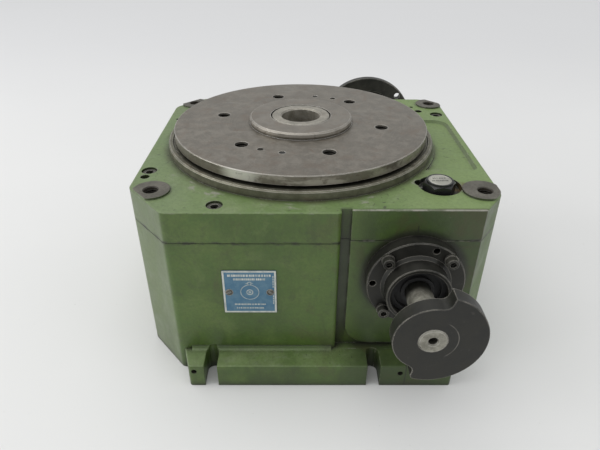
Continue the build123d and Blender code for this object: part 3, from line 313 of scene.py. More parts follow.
def paint_oil(s, base, patch):
    """Oil-stained front pad round the shaft flange, with a short witness line over the flange."""
    x, y, z = s.axes()
    on_pad = s.times(
        s.range(x, CHANNEL_X0, CHANNEL_X1 + 20 * MM),
        s.range(y, PAD_FRONT + 4 * MM, PAD_FRONT + 1 * MM),
    )
    film = s.math("MULTIPLY", on_pad, s.range(patch, 0.30, 0.62, 0.48, 0.90))
    base = s.mix(film, base, (0.032, 0.054, 0.013))
    stain = s.range(s.noise(24.0, 6.0, 0.66, 0.8), 0.48, 0.62, 0.0, 0.70)
    base = s.mix(s.math("MULTIPLY", on_pad, stain), base, (0.052, 0.055, 0.017))
    line = s.times(
        on_pad,
        s.range(x, SHAFT_X - 1.9 * MM, SHAFT_X - 1.4 * MM),
        s.range(x, SHAFT_X - 0.4 * MM, SHAFT_X - 0.9 * MM),
        s.range(z, flange_high.z + 11 * MM, flange_high.z + 7 * MM),
    )
    base = s.mix(s.math("MULTIPLY", line, 0.85), base, (0.014, 0.014, 0.008))
    # dirt that has crept out from under the flange
    from_shaft = s.radius("Y", SHAFT_AXIS)
    flange_r = (flange_high.x - flange_low.x) / 2
    creep = s.times(on_pad, s.range(from_shaft, flange_r + 1 * MM, flange_r + 8 * MM, 0.85, 0.0))
    return s.mix(creep, base, (0.014, 0.015, 0.009))


def paint_grime_and_shade(s, base, patch, runs):
    """Grime near the feet, in the channel and along the split, and painted shade with grime in corners, holes
    and slots.
    """
    x, y, z = s.axes()
    low = s.times(s.range(z, 0.012, 0.070, 0.28, 0.0), s.range(runs, 0.42, 0.62, 0.0, 1.0))
    base = s.mix(low, base, (0.034, 0.046, 0.018))
    in_channel = s.times(
        s.range(x, CHANNEL_X0 - 1 * MM, CHANNEL_X0 + 1 * MM),
        s.range(x, CHANNEL_X1 + 1 * MM, CHANNEL_X1 - 1 * MM),
        s.range(y, PAD_FRONT + 5 * MM, PAD_FRONT + 4 * MM),
        s.range(z, FOOT_TOP - 2 * MM, FOOT_TOP + 6 * MM),
        s.range(z, 0.16, 0.135, 0.35, 0.85),
        s.range(runs, 0.3, 0.6, 0.6, 1.0),
    )
    base = s.mix(in_channel, base, (0.020, 0.024, 0.010))
    smear = s.noise(60.0, 6.0, 0.7, 0.4, s.scaled(1.0, 1.0, 2.2))
    split = s.times(
        s.range(z, SPLIT_Z - 3.0 * MM, SPLIT_Z - 0.6 * MM),
        s.range(z, SPLIT_Z + 2.6 * MM, SPLIT_Z + 0.8 * MM),
        s.range(smear, 0.46, 0.58, 0.15, 0.9),
    )
    base = s.mix(split, base, (0.030, 0.034, 0.018))
    # Ambient-occlusion darkening in corners, holes and slots: painted shade with grime.
    deep = s.math("MULTIPLY", s.crevice(10 * MM), s.range(patch, 0.30, 0.60, 0.60, 1.0))
    return s.mix(deep, base, PAINT_SHADE_AND_GRIME)


def paint_cover(s, base, broad, patch):
    """Grime on the cover round the ring, painted shade in the filler recess, and dark flecks between them."""
    z = s.axes()[2]
    up = s.up()
    around = s.times(
        s.range(s.radius("Z"), RING_R + 0.4 * MM, RING_R + 9 * MM, 0.65, 0.0),
        s.range(patch, 0.40, 0.60),
        up,
    )
    base = s.mix(around, base, (0.066, 0.076, 0.030))
    from_plug = s.radius("Z", (PLUG.x, PLUG.y))
    sunk = s.range(z, COVER_TOP - 0.5 * MM, COVER_TOP - 1.2 * MM)
    # Near-black recess floor round the plug: painted shade.
    recess_shade_mask = s.range(from_plug, RECESS_R + 1 * MM, RECESS_R - 1 * MM)
    base = s.mix(s.math("MULTIPLY", recess_shade_mask, sunk), base, (0.010, 0.011, 0.007))
    stain = s.spot((PLUG.x + 19 * MM, PLUG.y + 1 * MM, COVER_TOP), 4 * MM, 10 * MM)
    stain = s.math("MULTIPLY", stain, s.range(s.noise(160.0, 4.0, 0.6), 0.35, 0.6, 0.2, 0.9))
    base = s.mix(stain, base, (0.120, 0.080, 0.022))
    flecks = s.times(
        s.range(s.noise(230.0, 2.0, 0.5, 0.4), 0.66, 0.70),
        s.range(broad, 0.40, 0.60, 0.1, 1.0),
        up,
    )
    return s.mix(s.math("MULTIPLY", flecks, 0.75), base, (0.032, 0.036, 0.020))


def paint_chips(s):
    """Mask of bare spots: the pad's top edge, knocked corners and rubbed patches by the ring."""
    x, y, z = s.axes()
    rub = s.range(s.noise(95.0, 5.0, 0.65, 0.2), 0.48, 0.60)
    high_up = s.range(z, COVER_TOP - 8 * MM, COVER_TOP - 4 * MM)
    exposed = s.math("MAXIMUM", high_up, s.range(x, 30 * MM, 44 * MM, 0.0, 0.6))
    chip = s.times(s.edge(1.2 * MM), rub, exposed)
    pad_edge = s.times(
        s.range(x, CHANNEL_X1 - 1 * MM, CHANNEL_X1 + 1 * MM),
        s.range(y, PAD_FRONT + 1.6 * MM, PAD_FRONT + 1.0 * MM),
        s.range(z, COVER_TOP - 1.0 * MM, COVER_TOP - 0.6 * MM),
        s.range(s.noise(70.0, 4.0, 0.6), 0.38, 0.52, 0.35, 1.0),
    )
    chip = s.math("MAXIMUM", chip, pad_edge)
    radius = s.radius("Z")
    by_ring = s.times(
        s.range(radius, RING_R + 3 * MM, RING_R + 6 * MM),
        s.range(radius, RING_R + 17 * MM, RING_R + 10 * MM),
        s.range(y, -60 * MM, -90 * MM),
        s.range(s.noise(44.0, 7.0, 0.72, 0.5), 0.52, 0.62),
        s.up(),
    )
    chip = s.math("MAXIMUM", chip, s.math("MULTIPLY", by_ring, 0.80))
    scuffs = s.range(s.noise(88.0, 7.0, 0.74, 0.3), 0.64, 0.74, 0.0, 0.35)
    return s.math("MAXIMUM", chip, s.math("MULTIPLY", scuffs, s.range(z, 0.10, 0.15, 0.5, 1.0)))


def green_paint():
    """Worn olive machine enamel over a sand-cast surface, with grime, scuffs and chipped edges, painted light
    on some faces and painted shade in its corners and holes.
    """
    s = Shader("green_paint")
    z = s.axes()[2]
    broad = s.noise(8.0, 4.0, 0.6, 0.3)
    patch = s.noise(36.0, 6.0, 0.62, 0.3)
    fine = s.noise(420.0, 3.0, 0.6)
    runs = s.noise(30.0, 5.0, 0.65, 0.2, s.scaled(1.0, 1.0, 0.16))
    base = paint_film(s, broad, patch, fine, runs)
    base = paint_oil(s, base, patch)
    base = paint_grime_and_shade(s, base, patch, runs)
    base = paint_cover(s, base, broad, patch)
    chip = paint_chips(s)
    base = s.mix(chip, base, s.mix(fine, PAINT_CHIP_DARK, PAINT_CHIP_LIGHT))
    # the corner pads are machined bare
    up = s.up()
    pad = s.math("MULTIPLY", s.range(z, COVER_TOP + 0.9 * MM, COVER_TOP + 1.2 * MM), up)
    iron = s.mix(s.range(patch, 0.35, 0.65), (0.100, 0.094, 0.074), (0.166, 0.156, 0.130))
    iron = s.mix(s.range(fine, 0.40, 0.70, 0.0, 0.5), iron, (0.070, 0.062, 0.050))
    # Darker in the pads' corners and hollows: painted shade.
    iron = s.mix(s.crevice(3 * MM, 0.35, 0.8), iron, (0.03, 0.026, 0.02))
    base = s.mix(pad, base, iron)
    # Near-black mouths of the corner taps: painted shade.
    for place in hole_places(mounts["corner_taps"]):
        from_tap = s.radius("Z", place.translation[:2])
        in_tap = s.range(from_tap, CORNER_TAP_DARK_R + 0.2 * MM, CORNER_TAP_DARK_R)
        tap_mouth_shade = s.times(in_tap, s.range(z, 0.14, 0.145))
        base = s.mix(tap_mouth_shade, base, (0.040, 0.034, 0.025))
    rough = s.range(patch, 0.3, 0.75, 0.34, 0.52)
    rough = s.math("ADD", rough, s.math("MULTIPLY", up, 0.10))
    grit = s.math("ADD", s.math("MULTIPLY", fine, 0.35), s.noise(120.0, 4.0, 0.6))
    grit = s.math("SUBTRACT", grit, s.math("MULTIPLY", chip, 0.35))
    normal = s.bump(grit, 0.36, 0.9 * MM, s.soft_edges(0.8 * MM))
    return s.finish(base, rough, s.math("MULTIPLY", pad, 0.55), normal, 0.55)


def mottled_metal(name, light, dark, rough, mottle=60.0, worn=0.25, metal=0.85):
    """Machined steel with mottled stains, fine tool marks and brighter edges."""
    s = Shader(name)
    patch = s.noise(mottle, 6.0, 0.62, 0.4)
    blotch = s.noise(mottle * 0.28, 4.0, 0.55, 0.5)
    fine = s.noise(mottle * 14, 2.0, 0.5)
    base = s.mix(s.range(patch, 0.34, 0.66), dark, light)
    base = s.mix(s.range(blotch, 0.40, 0.68, 0.0, 0.5), base, [0.75 * c for c in dark])
    edge = s.math("MULTIPLY", s.edge(0.9 * MM), s.range(patch, 0.35, 0.55, 0.35, 1.0))
    base = s.mix(s.math("MULTIPLY", edge, worn * 3), base, (0.60, 0.59, 0.56))
    stained = s.range(patch, 0.3, 0.7, rough - 0.06, rough + 0.10)
    value = s.math("ADD", stained, s.math("MULTIPLY", fine, 0.05))
    normal = s.bump(fine, 0.10, 0.2 * MM, s.soft_edges(0.4 * MM))
    return s.finish(base, value, metal, normal)


def turned_metal(
    name, light, dark, rough, axis, centre, pitch, rust,
    metal=0.85, worn=0.3, crevice_shade=0.75, extra=None, last=None,
):
    """Steel faced on a lathe: fine concentric tool marks round the axis, stains, worn edges and painted shade
    in its corners.

    extra adds marks under the painted shade and worn edges, last over them.
    """
    s = Shader(name)
    r = s.radius(axis, centre)
    patch = s.noise(120.0, 7.0, 0.68, 0.3)
    blotch = s.noise(22.0, 6.0, 0.62, 0.4)
    grain = s.noise(700.0, 3.0, 0.6)
    wave = s.math("SINE", s.math("MULTIPLY", r, 2 * math.pi / pitch))
    jitter = s.noise(900.0, 2.0, 0.5)
    rings = s.node("TexNoise", noise_dimensions="1D")
    s.put(rings.inputs["W"], r)
    rings.inputs["Scale"].default_value = 520.0
    base = s.mix(s.range(patch, 0.36, 0.66), dark, light)
    base = s.mix(s.range(blotch, 0.44, 0.70, 0.0, 0.40), base, [0.78 * c for c in dark])
    base = s.mix(s.range(grain, 0.50, 0.72, 0.0, 0.40), base, [1.30 * c for c in light])
    base = s.mix(s.range(rings.outputs["Fac"], 0.50, 0.72, 0.0, 0.12), base, [1.25 * c for c in light])
    spots = s.range(s.noise(64.0, 7.0, 0.75, 0.5), 0.55, 0.70, 0.0, rust)
    base = s.mix(spots, base, (0.15, 0.085, 0.048))
    if extra:
        base = extra(s, base, patch)
    # Darkening in corners and holes: painted shade.
    base = s.mix(s.math("MULTIPLY", s.crevice(5 * MM, 0.40, 0.85), crevice_shade), base, [0.22 * c for c in dark])
    edge = s.math("MULTIPLY", s.edge(0.9 * MM), s.range(patch, 0.30, 0.55, 0.45, 1.0))
    base = s.mix(s.math("MULTIPLY", edge, worn * 3, True), base, (0.62, 0.60, 0.56))
    if last:
        base = last(s, base)
    stained = s.range(patch, 0.3, 0.7, rough - 0.05, rough + 0.10)
    value = s.math("ADD", stained, s.math("MULTIPLY", jitter, 0.05))
    height = s.math("ADD", s.math("MULTIPLY", wave, 0.5), jitter)
    normal = s.bump(height, 0.12, 0.12 * MM, s.soft_edges(0.4 * MM))
    return s.finish(base, value, metal, normal)


def shaded_tap_holes(s, base):
    """Painted shade in the mouths and walls of the table's tapped holes."""
    sunk = s.range(s.axes()[2], TABLE_TOP - 0.05 * MM, TABLE_TOP - 0.5 * MM)
    for place in hole_places(mounts["table_taps"]):
        from_tap = s.radius("Z", place.translation[:2])
        in_mouth = s.range(from_tap, TABLE_TAP_DARK_R + 0.4 * MM, TABLE_TAP_DARK_R)
        base = s.mix(s.times(in_mouth, sunk, 0.92), base, (0.018, 0.017, 0.014))
    return base


def shaded_shaft_root(s, base):
    """Painted shade on the shaft where it goes into the front flange."""
    y = s.axes()[1]
    near_flange = s.range(y, flange_low.y - 7 * MM, flange_low.y + 1 * MM, 0.0, 0.94)
    deep = s.times(near_flange, s.range(y, 0.0, -0.05))
    return s.mix(deep, base, (0.014, 0.014, 0.011))


def table_marks(s, base, patch):
    """Brown handling stains on the table, a burnished boss top, bright worn bands on the rim, and painted
    highlights on the rim's front left and on the boss's wall.
    """
    brown = s.range(s.noise(48.0, 7.0, 0.70, 0.6), 0.50, 0.66, 0.0, 0.50)
    base = s.mix(brown, base, (0.205, 0.165, 0.130))
    pale = s.range(s.noise(30.0, 6.0, 0.68, 0.8), 0.54, 0.68, 0.0, 0.40)
    base = s.mix(pale, base, (0.310, 0.295, 0.262))
    boss = s.range(s.radius("Z"), BOSS_R + 0.2 * MM, BOSS_R - 0.2 * MM)
    base = s.mix(s.math("MULTIPLY", boss, 0.16), base, (0.345, 0.310, 0.270))
    wall = s.math("SUBTRACT", 1.0, s.up())
    streaks = s.noise(26.0, 5.0, 0.65, 0.4, s.scaled(1, 1, 3))
    shiny = s.times(wall, s.range(streaks, 0.50, 0.64, 0.0, 0.60))
    base = s.mix(s.math("MULTIPLY", wall, 0.55), base, (0.155, 0.142, 0.108))
    base = s.mix(shiny, base, (0.450, 0.420, 0.360))
    x, y, z = s.axes()
    # Bright patch on the rim's front left: painted highlight.
    rim_highlight = s.times(
        wall,
        s.range(x, -72 * MM, -56 * MM),
        s.range(x, -30 * MM, -48 * MM),
        s.range(y, -60 * MM, -90 * MM),
    )
    base = s.mix(s.math("MULTIPLY", rim_highlight, 0.85), base, (0.780, 0.760, 0.700))
    # Lighter boss wall: painted highlight.
    on_boss = s.range(z, TABLE_TOP + 1.5 * MM, TABLE_TOP + 3 * MM)
    boss_wall_highlight = s.times(wall, on_boss, s.range(patch, 0.30, 0.55, 0.4, 1.0))
    base = s.mix(s.math("MULTIPLY", boss_wall_highlight, 0.8), base, (0.520, 0.490, 0.440))
    stained = s.times(wall, s.range(patch, 0.54, 0.66, 0.0, 0.6))
    return s.mix(stained, base, (0.095, 0.075, 0.052))


def black_oxide(name, tone, rough, worn, marks=None, scuffed=0.55):
    """Black-finished steel, worn through to grey along its edges, with a light oily film and painted shade in
    its corners.
    """
    s = Shader(name)
    patch = s.noise(55.0, 6.0, 0.65, 0.4)
    fine = s.noise(600.0, 3.0, 0.6)
    base = s.mix(s.range(patch, 0.3, 0.7), (tone, tone, tone * 0.86), (tone * 1.75, tone * 1.68, tone * 1.35))
    scuff = s.range(s.noise(130.0, 7.0, 0.78, 0.3), 0.58, 0.72, 0.0, scuffed)
    base = s.mix(scuff, base, (tone * 4.0, tone * 3.7, tone * 3.2))
    # Near-black in corners and holes: painted shade.
    base = s.mix(s.math("MULTIPLY", s.crevice(6 * MM, 0.40, 0.85), 0.8), base, (0.006, 0.006, 0.005))
    edge = s.math("MULTIPLY", s.edge(1.0 * MM), s.range(patch, 0.36, 0.60, 0.25, 1.0))
    edge = s.math("MULTIPLY", edge, worn * 1.6, True)
    if marks:
        edge = s.math("MAXIMUM", edge, marks(s))
    base = s.mix(edge, base, (0.36, 0.34, 0.30))
    metal = s.math("ADD", 0.35, s.math("MULTIPLY", edge, 0.5))
    value = s.range(patch, 0.3, 0.7, rough - 0.05, rough + 0.12)
    normal = s.bump(fine, 0.10, 0.25 * MM, s.soft_edges(0.4 * MM))
    return s.finish(base, value, metal, normal)


def scribed_arc(s):
    """Faint scratch round the cam's hub, on its right side."""
    r = s.radius("Y", SHAFT_AXIS)
    x, y = s.axes()[:2]
    line = s.math("MULTIPLY", s.range(r, 18.2 * MM, 18.7 * MM), s.range(r, 19.3 * MM, 18.8 * MM))
    side = s.range(x, SHAFT_X + 8 * MM, SHAFT_X + 13 * MM)
    worn = s.range(s.noise(60.0, 3.0, 0.6), 0.42, 0.58, 0.10, 0.42)
    front = s.range(y, CAM_FRONT + 0.6 * MM, CAM_FRONT + 0.2 * MM)
    return s.times(line, side, worn, front)


def rubber(name, tone=0.018, rough=0.62):
    """Dusty black rubber."""
    s = Shader(name)
    patch = s.noise(160.0, 4.0, 0.6)
    dust = s.range(s.noise(60.0, 5.0, 0.7), 0.55, 0.75, 0.0, 0.35)
    base = s.mix(patch, [tone] * 3, [tone * 1.7] * 3)
    base = s.mix(dust, base, (0.09, 0.085, 0.075))
    value = s.range(patch, 0.3, 0.7, rough - 0.06, rough + 0.1)
    return s.finish(base, value, 0.0, s.bump(patch, 0.15, 0.2 * MM))


def felt():
    """Dark oiled felt of the seal."""
    s = Shader("oiled_felt")
    fibre = s.noise(1400.0, 4.0, 0.8, 1.5)
    base = s.mix(fibre, (0.025, 0.022, 0.018), (0.075, 0.068, 0.055))
    material = s.finish(base, 0.9, 0.0, s.bump(fibre, 0.6, 0.5 * MM))
    s.bsdf.inputs["Sheen Weight"].default_value = 0.2
    return material


def brass(name, light, dark, rough=0.35):
    """Bronze, brass or copper, by its two colours."""
    return mottled_metal(name, light, dark, rough, 90.0, 0.3, 1.0)


def plate_blue():
    """Printed blue plate, scratched and faded."""
    s = Shader("plate_blue")
    patch = s.noise(140.0, 5.0, 0.65, 0.3)
    scratch = s.noise(330.0, 3.0, 0.6, 0.0, s.scaled(1.0, 1.0, 7.0))
    base = s.mix(s.range(patch, 0.35, 0.70), (0.060, 0.158, 0.250), (0.108, 0.212, 0.292))
    base = s.mix(s.range(scratch, 0.64, 0.76, 0.0, 0.5), base, (0.38, 0.42, 0.42))
    edge = s.math("MULTIPLY", s.edge(0.5 * MM), 0.8)
    base = s.mix(edge, base, (0.42, 0.42, 0.38))
    return s.finish(base, s.range(patch, 0.3, 0.7, 0.32, 0.5), 0.25, s.bump(patch, 0.05, 0.2 * MM))


def plate_print():
    """Off-white printing and border of the plate."""
    s = Shader("plate_print")
    patch = s.noise(260.0, 5.0, 0.7, 0.3)
    base = s.mix(s.range(patch, 0.40, 0.72), (0.60, 0.61, 0.55), (0.34, 0.38, 0.37))
    return s.finish(base, 0.45, 0.2, s.bump(patch, 0.05, 0.1 * MM))


def plastic(name, tone=0.012, rough=0.28):
    """Black plastic or print under a thin dusty film."""
    s = Shader(name)
    patch = s.noise(90.0, 4.0, 0.6)
    film = s.range(s.noise(50.0, 5.0, 0.7), 0.5, 0.75, 0.0, 0.4)
    base = s.mix(film, [tone] * 3, (tone * 3.2, tone * 3.2, tone * 2.6))
    normal = s.bump(patch, 0.06, 0.2 * MM, s.soft_edges(0.5 * MM))
    return s.finish(base, s.range(patch, 0.3, 0.7, rough - 0.05, rough + 0.15), 0.0, normal, 0.5)


steel = turned_metal(
    "ground_steel", (0.262, 0.240, 0.206), (0.196, 0.178, 0.149), 0.40, "Z", (0, 0), 0.9 * MM,
    rust=0.35, worn=0.42, extra=table_marks, last=shaded_tap_holes,
)
ring_steel = turned_metal(
    "ring_steel", (0.235, 0.226, 0.172), (0.145, 0.139, 0.103), 0.45, "Z", (0, 0), 0.8 * MM,
    rust=0.3, worn=0.32,
)
column_steel = turned_metal(
    "column_steel", (0.36, 0.335, 0.285), (0.235, 0.22, 0.18), 0.38, "Z", (0, 0), 0.5 * MM,
    metal=0.55, rust=0.25, crevice_shade=0.25,
)
shaft_steel = turned_metal(
    "shaft_steel", (0.34, 0.33, 0.28), (0.19, 0.182, 0.15), 0.36, "Y", SHAFT_AXIS, 0.7 * MM,
    metal=0.65, rust=0.25, crevice_shade=0.35, last=shaded_shaft_root,
)
bright_steel = mottled_metal("bright_steel", (0.50, 0.49, 0.47), (0.33, 0.32, 0.30), 0.30)
iron = mottled_metal("machined_iron", (0.24, 0.235, 0.22), (0.15, 0.145, 0.135), 0.5)
pin_steel = mottled_metal("pin_steel", (0.13, 0.125, 0.105), (0.07, 0.066, 0.055), 0.45)
# Near-black steel of the threads: painted shade inside the tapped holes.
thread_shade_steel = mottled_metal("thread_shade_steel", (0.060, 0.056, 0.046), (0.028, 0.026, 0.022), 0.5, worn=0.0)
oxide = black_oxide("black_oxide", 0.016, 0.42, 0.60)
cam_oxide = black_oxide("cam_oxide", 0.017, 0.46, 1.0, scribed_arc, 0.75)
disc_oxide = black_oxide("disc_oxide", 0.028, 0.44, 0.9)
disc_mark = plastic("disc_mark", 0.014, 0.5)
screw_black = black_oxide("screw_black", 0.024, 0.38, 0.5)
cover_screw = black_oxide("cover_screw", 0.050, 0.42, 0.7)
print_white = plate_print()
LOOKS = {
    "green_paint": green_paint(),
    "ground_steel": steel,
    "dark_steel": ring_steel,
    "bare_steel": bright_steel,
    "cast_iron": iron,
    "black_oxide": oxide,
    "dark_screw": screw_black,
    "black_plastic": plastic("plug_plastic"),
    "bright_aluminium": mottled_metal("plug_aluminium", (0.62, 0.61, 0.54), (0.46, 0.45, 0.39), 0.38),
    "nameplate_blue": plate_blue(),
    "seal_rubber": rubber("seal_rubber"),
    "gasket": rubber("gasket_black", 0.010, 0.7),
    "felt": felt(),
    "bronze": brass("wheel_bronze", (0.50, 0.33, 0.15), (0.34, 0.21, 0.09)),
    "cage_brass": brass("cage_brass", (0.62, 0.46, 0.20), (0.45, 0.31, 0.12), 0.3),
    "copper": brass("copper", (0.50, 0.26, 0.15), (0.32, 0.15, 0.08)),
}
OWN_LOOKS = {
    "center_column": column_steel,
    "worm_shaft": shaft_steel,
    "cam_disc": cam_oxide,
    "rear_disc": disc_oxide,
    "cover_screws": cover_screw,
    "nameplate_screws": pin_steel,
    "table_dowels": pin_steel,
}


def dress_cad():
    """Give every CAD node its material and smooth shading on its curved faces."""
    slots = {part["node"]: part["material_slot"] for part in frame["record"]["subparts"]}
    for name, node in nodes.items():
        look = OWN_LOOKS.get(name) or LOOKS[slots[name]]
        node.data.materials.clear()
        node.data.materials.append(look)
        node.data.shade_smooth()
        node.data.set_sharp_from_angle(angle=math.radians(32))


dress_cad()


# ---- added pieces ----
def add_piece(name, mesh_maker, look, body):
    """Build a mesh piece from a bmesh-filling function and tie it to its body and slot."""
    shape = bmesh.new()
    mesh_maker(shape)
    bmesh.ops.recalc_face_normals(shape, faces=shape.faces)
    mesh = bpy.data.meshes.new(name)
    shape.to_mesh(mesh)
    shape.free()
    mesh.materials.append(look)
    piece = bpy.data.objects.new(name, mesh)
    bpy.context.scene.collection.objects.link(piece)
    mesh.shade_smooth()
    mesh.set_sharp_from_angle(angle=math.radians(32))
    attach(piece, body)
    return piece


def sweep_loop(shape, rings, closed):
    """Skin a list of closed vertex rings into a tube, joined end to end or capped."""
    made = [[shape.verts.new(point) for point in ring] for ring in rings]
    count = len(made[0])
    last = len(made) if closed else len(made) - 1
    for i in range(last):
        here, there = made[i], made[(i + 1) % len(made)]
        for k in range(count):
            shape.faces.new((here[k], here[(k + 1) % count], there[(k + 1) % count], there[k]))
    if not closed:
        shape.faces.new(made[0])
        shape.faces.new(list(reversed(made[-1])))


def internal_thread(shape, place, radius, pitch, depth, ridge):
    """Helical ridge standing in from a hole's wall, from its mouth at z = 0 of place downwards."""
    steps = 28
    root, crest = radius + 0.03 * MM, radius - ridge
    profile = ((root, 0.42), (crest, 0.06), (crest, -0.06), (root, -0.42))
    rings = []
    for i in range(int(depth / pitch * steps) + 1):
        angle = 2 * math.pi * i / steps
        drop = -0.6 * pitch - pitch * i / steps
        out = Vector((math.cos(angle), math.sin(angle), 0))
        rings.append([place @ (out * reach + Vector((0, 0, drop + rise * pitch))) for reach, rise in profile])
    sweep_loop(shape, rings, False)


def threads_in(mount, radius, pitch, depth, ridge):
    """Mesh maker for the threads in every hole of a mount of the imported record."""
    places = hole_places(mount)

    def fill(shape):
        """Add the thread of each hole."""
        for place in places:
            internal_thread(shape, place, radius, pitch, depth, ridge)

    return fill


# piece: mount, drill radius, pitch, depth and ridge in mm, body, slot
THREADS = {
    "table_tap_threads": ("table_taps", 5.1, 1.75, 13.0, 0.40, "table", "ground_steel"),
    "corner_tap_threads": ("corner_taps", 6.0, 2.0, 21.0, 0.45, "housing", "cast_iron"),
    "shaft_end_thread": ("shaft_end_tap", 3.4, 1.25, 11.0, 0.32, "input_shaft", "bare_steel"),
    "foot_thread_left": ("foot_tap_left", 2.5, 1.0, 10.0, 0.25, "housing", "cast_iron"),
    "foot_thread_right": ("foot_tap_right", 2.5, 1.0, 10.0, 0.25, "housing", "cast_iron"),
}


def threads():
    """Cut threads show inside the tapped holes."""
    for name, (mount, radius, pitch, depth, ridge, body, slot) in THREADS.items():
        fill = threads_in(mounts[mount], radius * MM, pitch * MM, depth * MM, ridge * MM)
        add_piece(name, fill, thread_shade_steel, body)


def flat_bar(shape, x0, x1, z0, z1, y, thick):
    """Thin raised bar on a face that looks along -Y, its edges drawn in."""
    inset = min(0.25 * thick, 0.2 * (z1 - z0))
    back = [Vector((a, y, b)) for a, b in ((x0, z0), (x1, z0), (x1, z1), (x0, z1))]
    centre = Vector(((x0 + x1) / 2, y, (z0 + z1) / 2))
    front = [corner + (centre - corner).normalized() * inset + Vector((0, -thick, 0)) for corner in back]
    sweep_loop(shape, [back, front], False)


def flat_ring(shape, x, z, inner, outer, y, thick, sides=48):
    """Thin raised ring on a face that looks along -Y."""
    rings = []
    for i in range(sides):
        out = Vector((math.cos(2 * math.pi * i / sides), 0, math.sin(2 * math.pi * i / sides)))
        low = Vector((x, y, z)) + out * inner
        high = Vector((x, y, z)) + out * outer
        front = Vector((0, -thick, 0))
        rings.append([low, high, high + front, low + front])
    sweep_loop(shape, rings, True)


PRINT_T = 0.07 * MM
PRINT_BORDER = 1.5 * MM


def plate_border(shape):
    """Bare metal rim round the printed field."""
    y = plate_low.y + 0.02 * MM
    inset = 0.2 * MM
    x0, x1 = plate_low.x + inset, plate_high.x - inset
    z0, z1 = plate_low.z + inset, plate_high.z - inset
    b = PRINT_BORDER
    outer = [(x0, z0), (x1, z0), (x1, z1), (x0, z1)]
    inner = [(x0 + b, z0 + b), (x1 - b, z0 + b), (x1 - b, z1 - b), (x0 + b, z1 - b)]
    rings = []
    for (ox, oz), (ix, iz) in zip(outer, inner):
        corners = ((ox, y, oz), (ox, y - PRINT_T, oz), (ix, y - PRINT_T, iz), (ix, y, iz))
        rings.append([Vector(corner) for corner in corners])
    sweep_loop(shape, rings, True)


def dash_row(shape, x0, x1, z, height, seed):
    """Row of dashes of uneven length that stands for printing, with no letters in it."""
    draw = random.Random(seed)
    y = plate_low.y + 0.02 * MM
    x = x0
    while x < x1:
        length = draw.uniform(0.6, 1.7) * MM
        flat_bar(shape, x, min(x + length, x1), z - height / 2, z + height / 2, y, PRINT_T)
        x += length + draw.choice((0.4, 0.4, 0.9)) * MM


def plate_printing(shape):
    """Generic diagram of a wheel with a small worm above it, between rows of dashes."""
    y = plate_low.y + 0.02 * MM
    flat_ring(shape, PLATE.x, PLATE.z, 7.6 * MM, 8.0 * MM, y, PRINT_T)
    flat_ring(shape, PLATE.x, PLATE.z, 2.3 * MM, 2.9 * MM, y, PRINT_T, 32)
    flat_ring(shape, PLATE.x, PLATE.z, 0.5 * MM, 1.0 * MM, y, PRINT_T, 20)
    flat_ring(shape, PLATE.x, PLATE.z + 9.4 * MM, 1.3 * MM, 1.8 * MM, y, PRINT_T, 24)
    for dx in (-3.2, 2.0):
        flat_bar(shape, PLATE.x + dx * MM, PLATE.x + (dx + 1.2) * MM,
                 PLATE.z + 9.2 * MM, PLATE.z + 9.6 * MM, y, PRINT_T)
    rows = ((17.8, 2.3, 18.3), (13.9, 2.1, 13.5), (-13.4, 1.3, 13.5), (-17.6, 1.4, 12.0))
    for seed, (dz, height, half) in enumerate(rows):
        dash_row(shape, PLATE.x - half * MM, PLATE.x + half * MM, PLATE.z + dz * MM, height * MM, seed)
    x = plate_high.x - PRINT_BORDER - 1.6 * MM
    for i in range(12):
        z = PLATE.z + (16.5 - 2.6 * i) * MM
        if abs(z - PLATE.z) > 4.0 * MM:
            flat_bar(shape, x, x + 0.8 * MM, z - 0.9 * MM, z + 0.9 * MM, y, PRINT_T)


def screw_washers(shape):
    """Dished washers under the nameplate screws' heads."""
    low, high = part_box("nameplate_screws")
    head_r = 3.0 * MM
    for x in (low.x + head_r, high.x - head_r):
        flat_ring(shape, x, (low.z + high.z) / 2, 1.5 * MM, 3.4 * MM, plate_low.y + 0.02 * MM, 0.3 * MM, 32)


def disc_rim(shape):
    """Pressed rim of the filler plug's disc."""
    rise = 0.30 * MM
    radius = (disc_high.x - disc_low.x) / 2
    profile = ((1.3 * MM, 0), (1.0 * MM, rise), (0.5 * MM, rise), (0.2 * MM, 0))
    centre = Vector((PLUG.x, PLUG.y, DISC_FACE))
    sides = 64
    rings = []
    for i in range(sides):
        out = Vector((math.cos(2 * math.pi * i / sides), math.sin(2 * math.pi * i / sides), 0))
        rings.append([centre + out * (radius - inset) + Vector((0, 0, lift)) for inset, lift in profile])
    sweep_loop(shape, rings, True)


def disc_marks(shape):
    """Plain black strokes on the disc in place of its printing, with no letters in them."""
    draw = random.Random(11)
    for row, half, tall in ((3.4, 5.6, 1.1), (-1.2, 7.0, 1.3)):
        x = -half
        while x < half:
            width = draw.uniform(0.55, 0.95)
            lean = draw.uniform(-0.5, 0.5)
            low_y, high_y = row - tall * draw.uniform(0.5, 1.0), row + tall * draw.uniform(0.6, 1.0)
            foot = [(x, low_y), (x + width, low_y), (x + width + lean, high_y), (x + lean, high_y)]
            base = [Vector((PLUG.x + a * MM, PLUG.y + b * MM, DISC_FACE)) for a, b in foot]
            crest = [corner + Vector((0, 0, 0.10 * MM)) for corner in base]
            sweep_loop(shape, [base, crest], False)
            x += width + draw.uniform(0.7, 1.2)


threads()
add_piece("plate_border", plate_border, print_white, "housing")
add_piece("plate_printing", plate_printing, print_white, "housing")
add_piece("plate_screw_washers", screw_washers, pin_steel, "housing")
add_piece("plug_disc_rim", disc_rim, LOOKS["bright_aluminium"], "housing")
add_piece("plug_disc_marks", disc_marks, disc_mark, "housing")


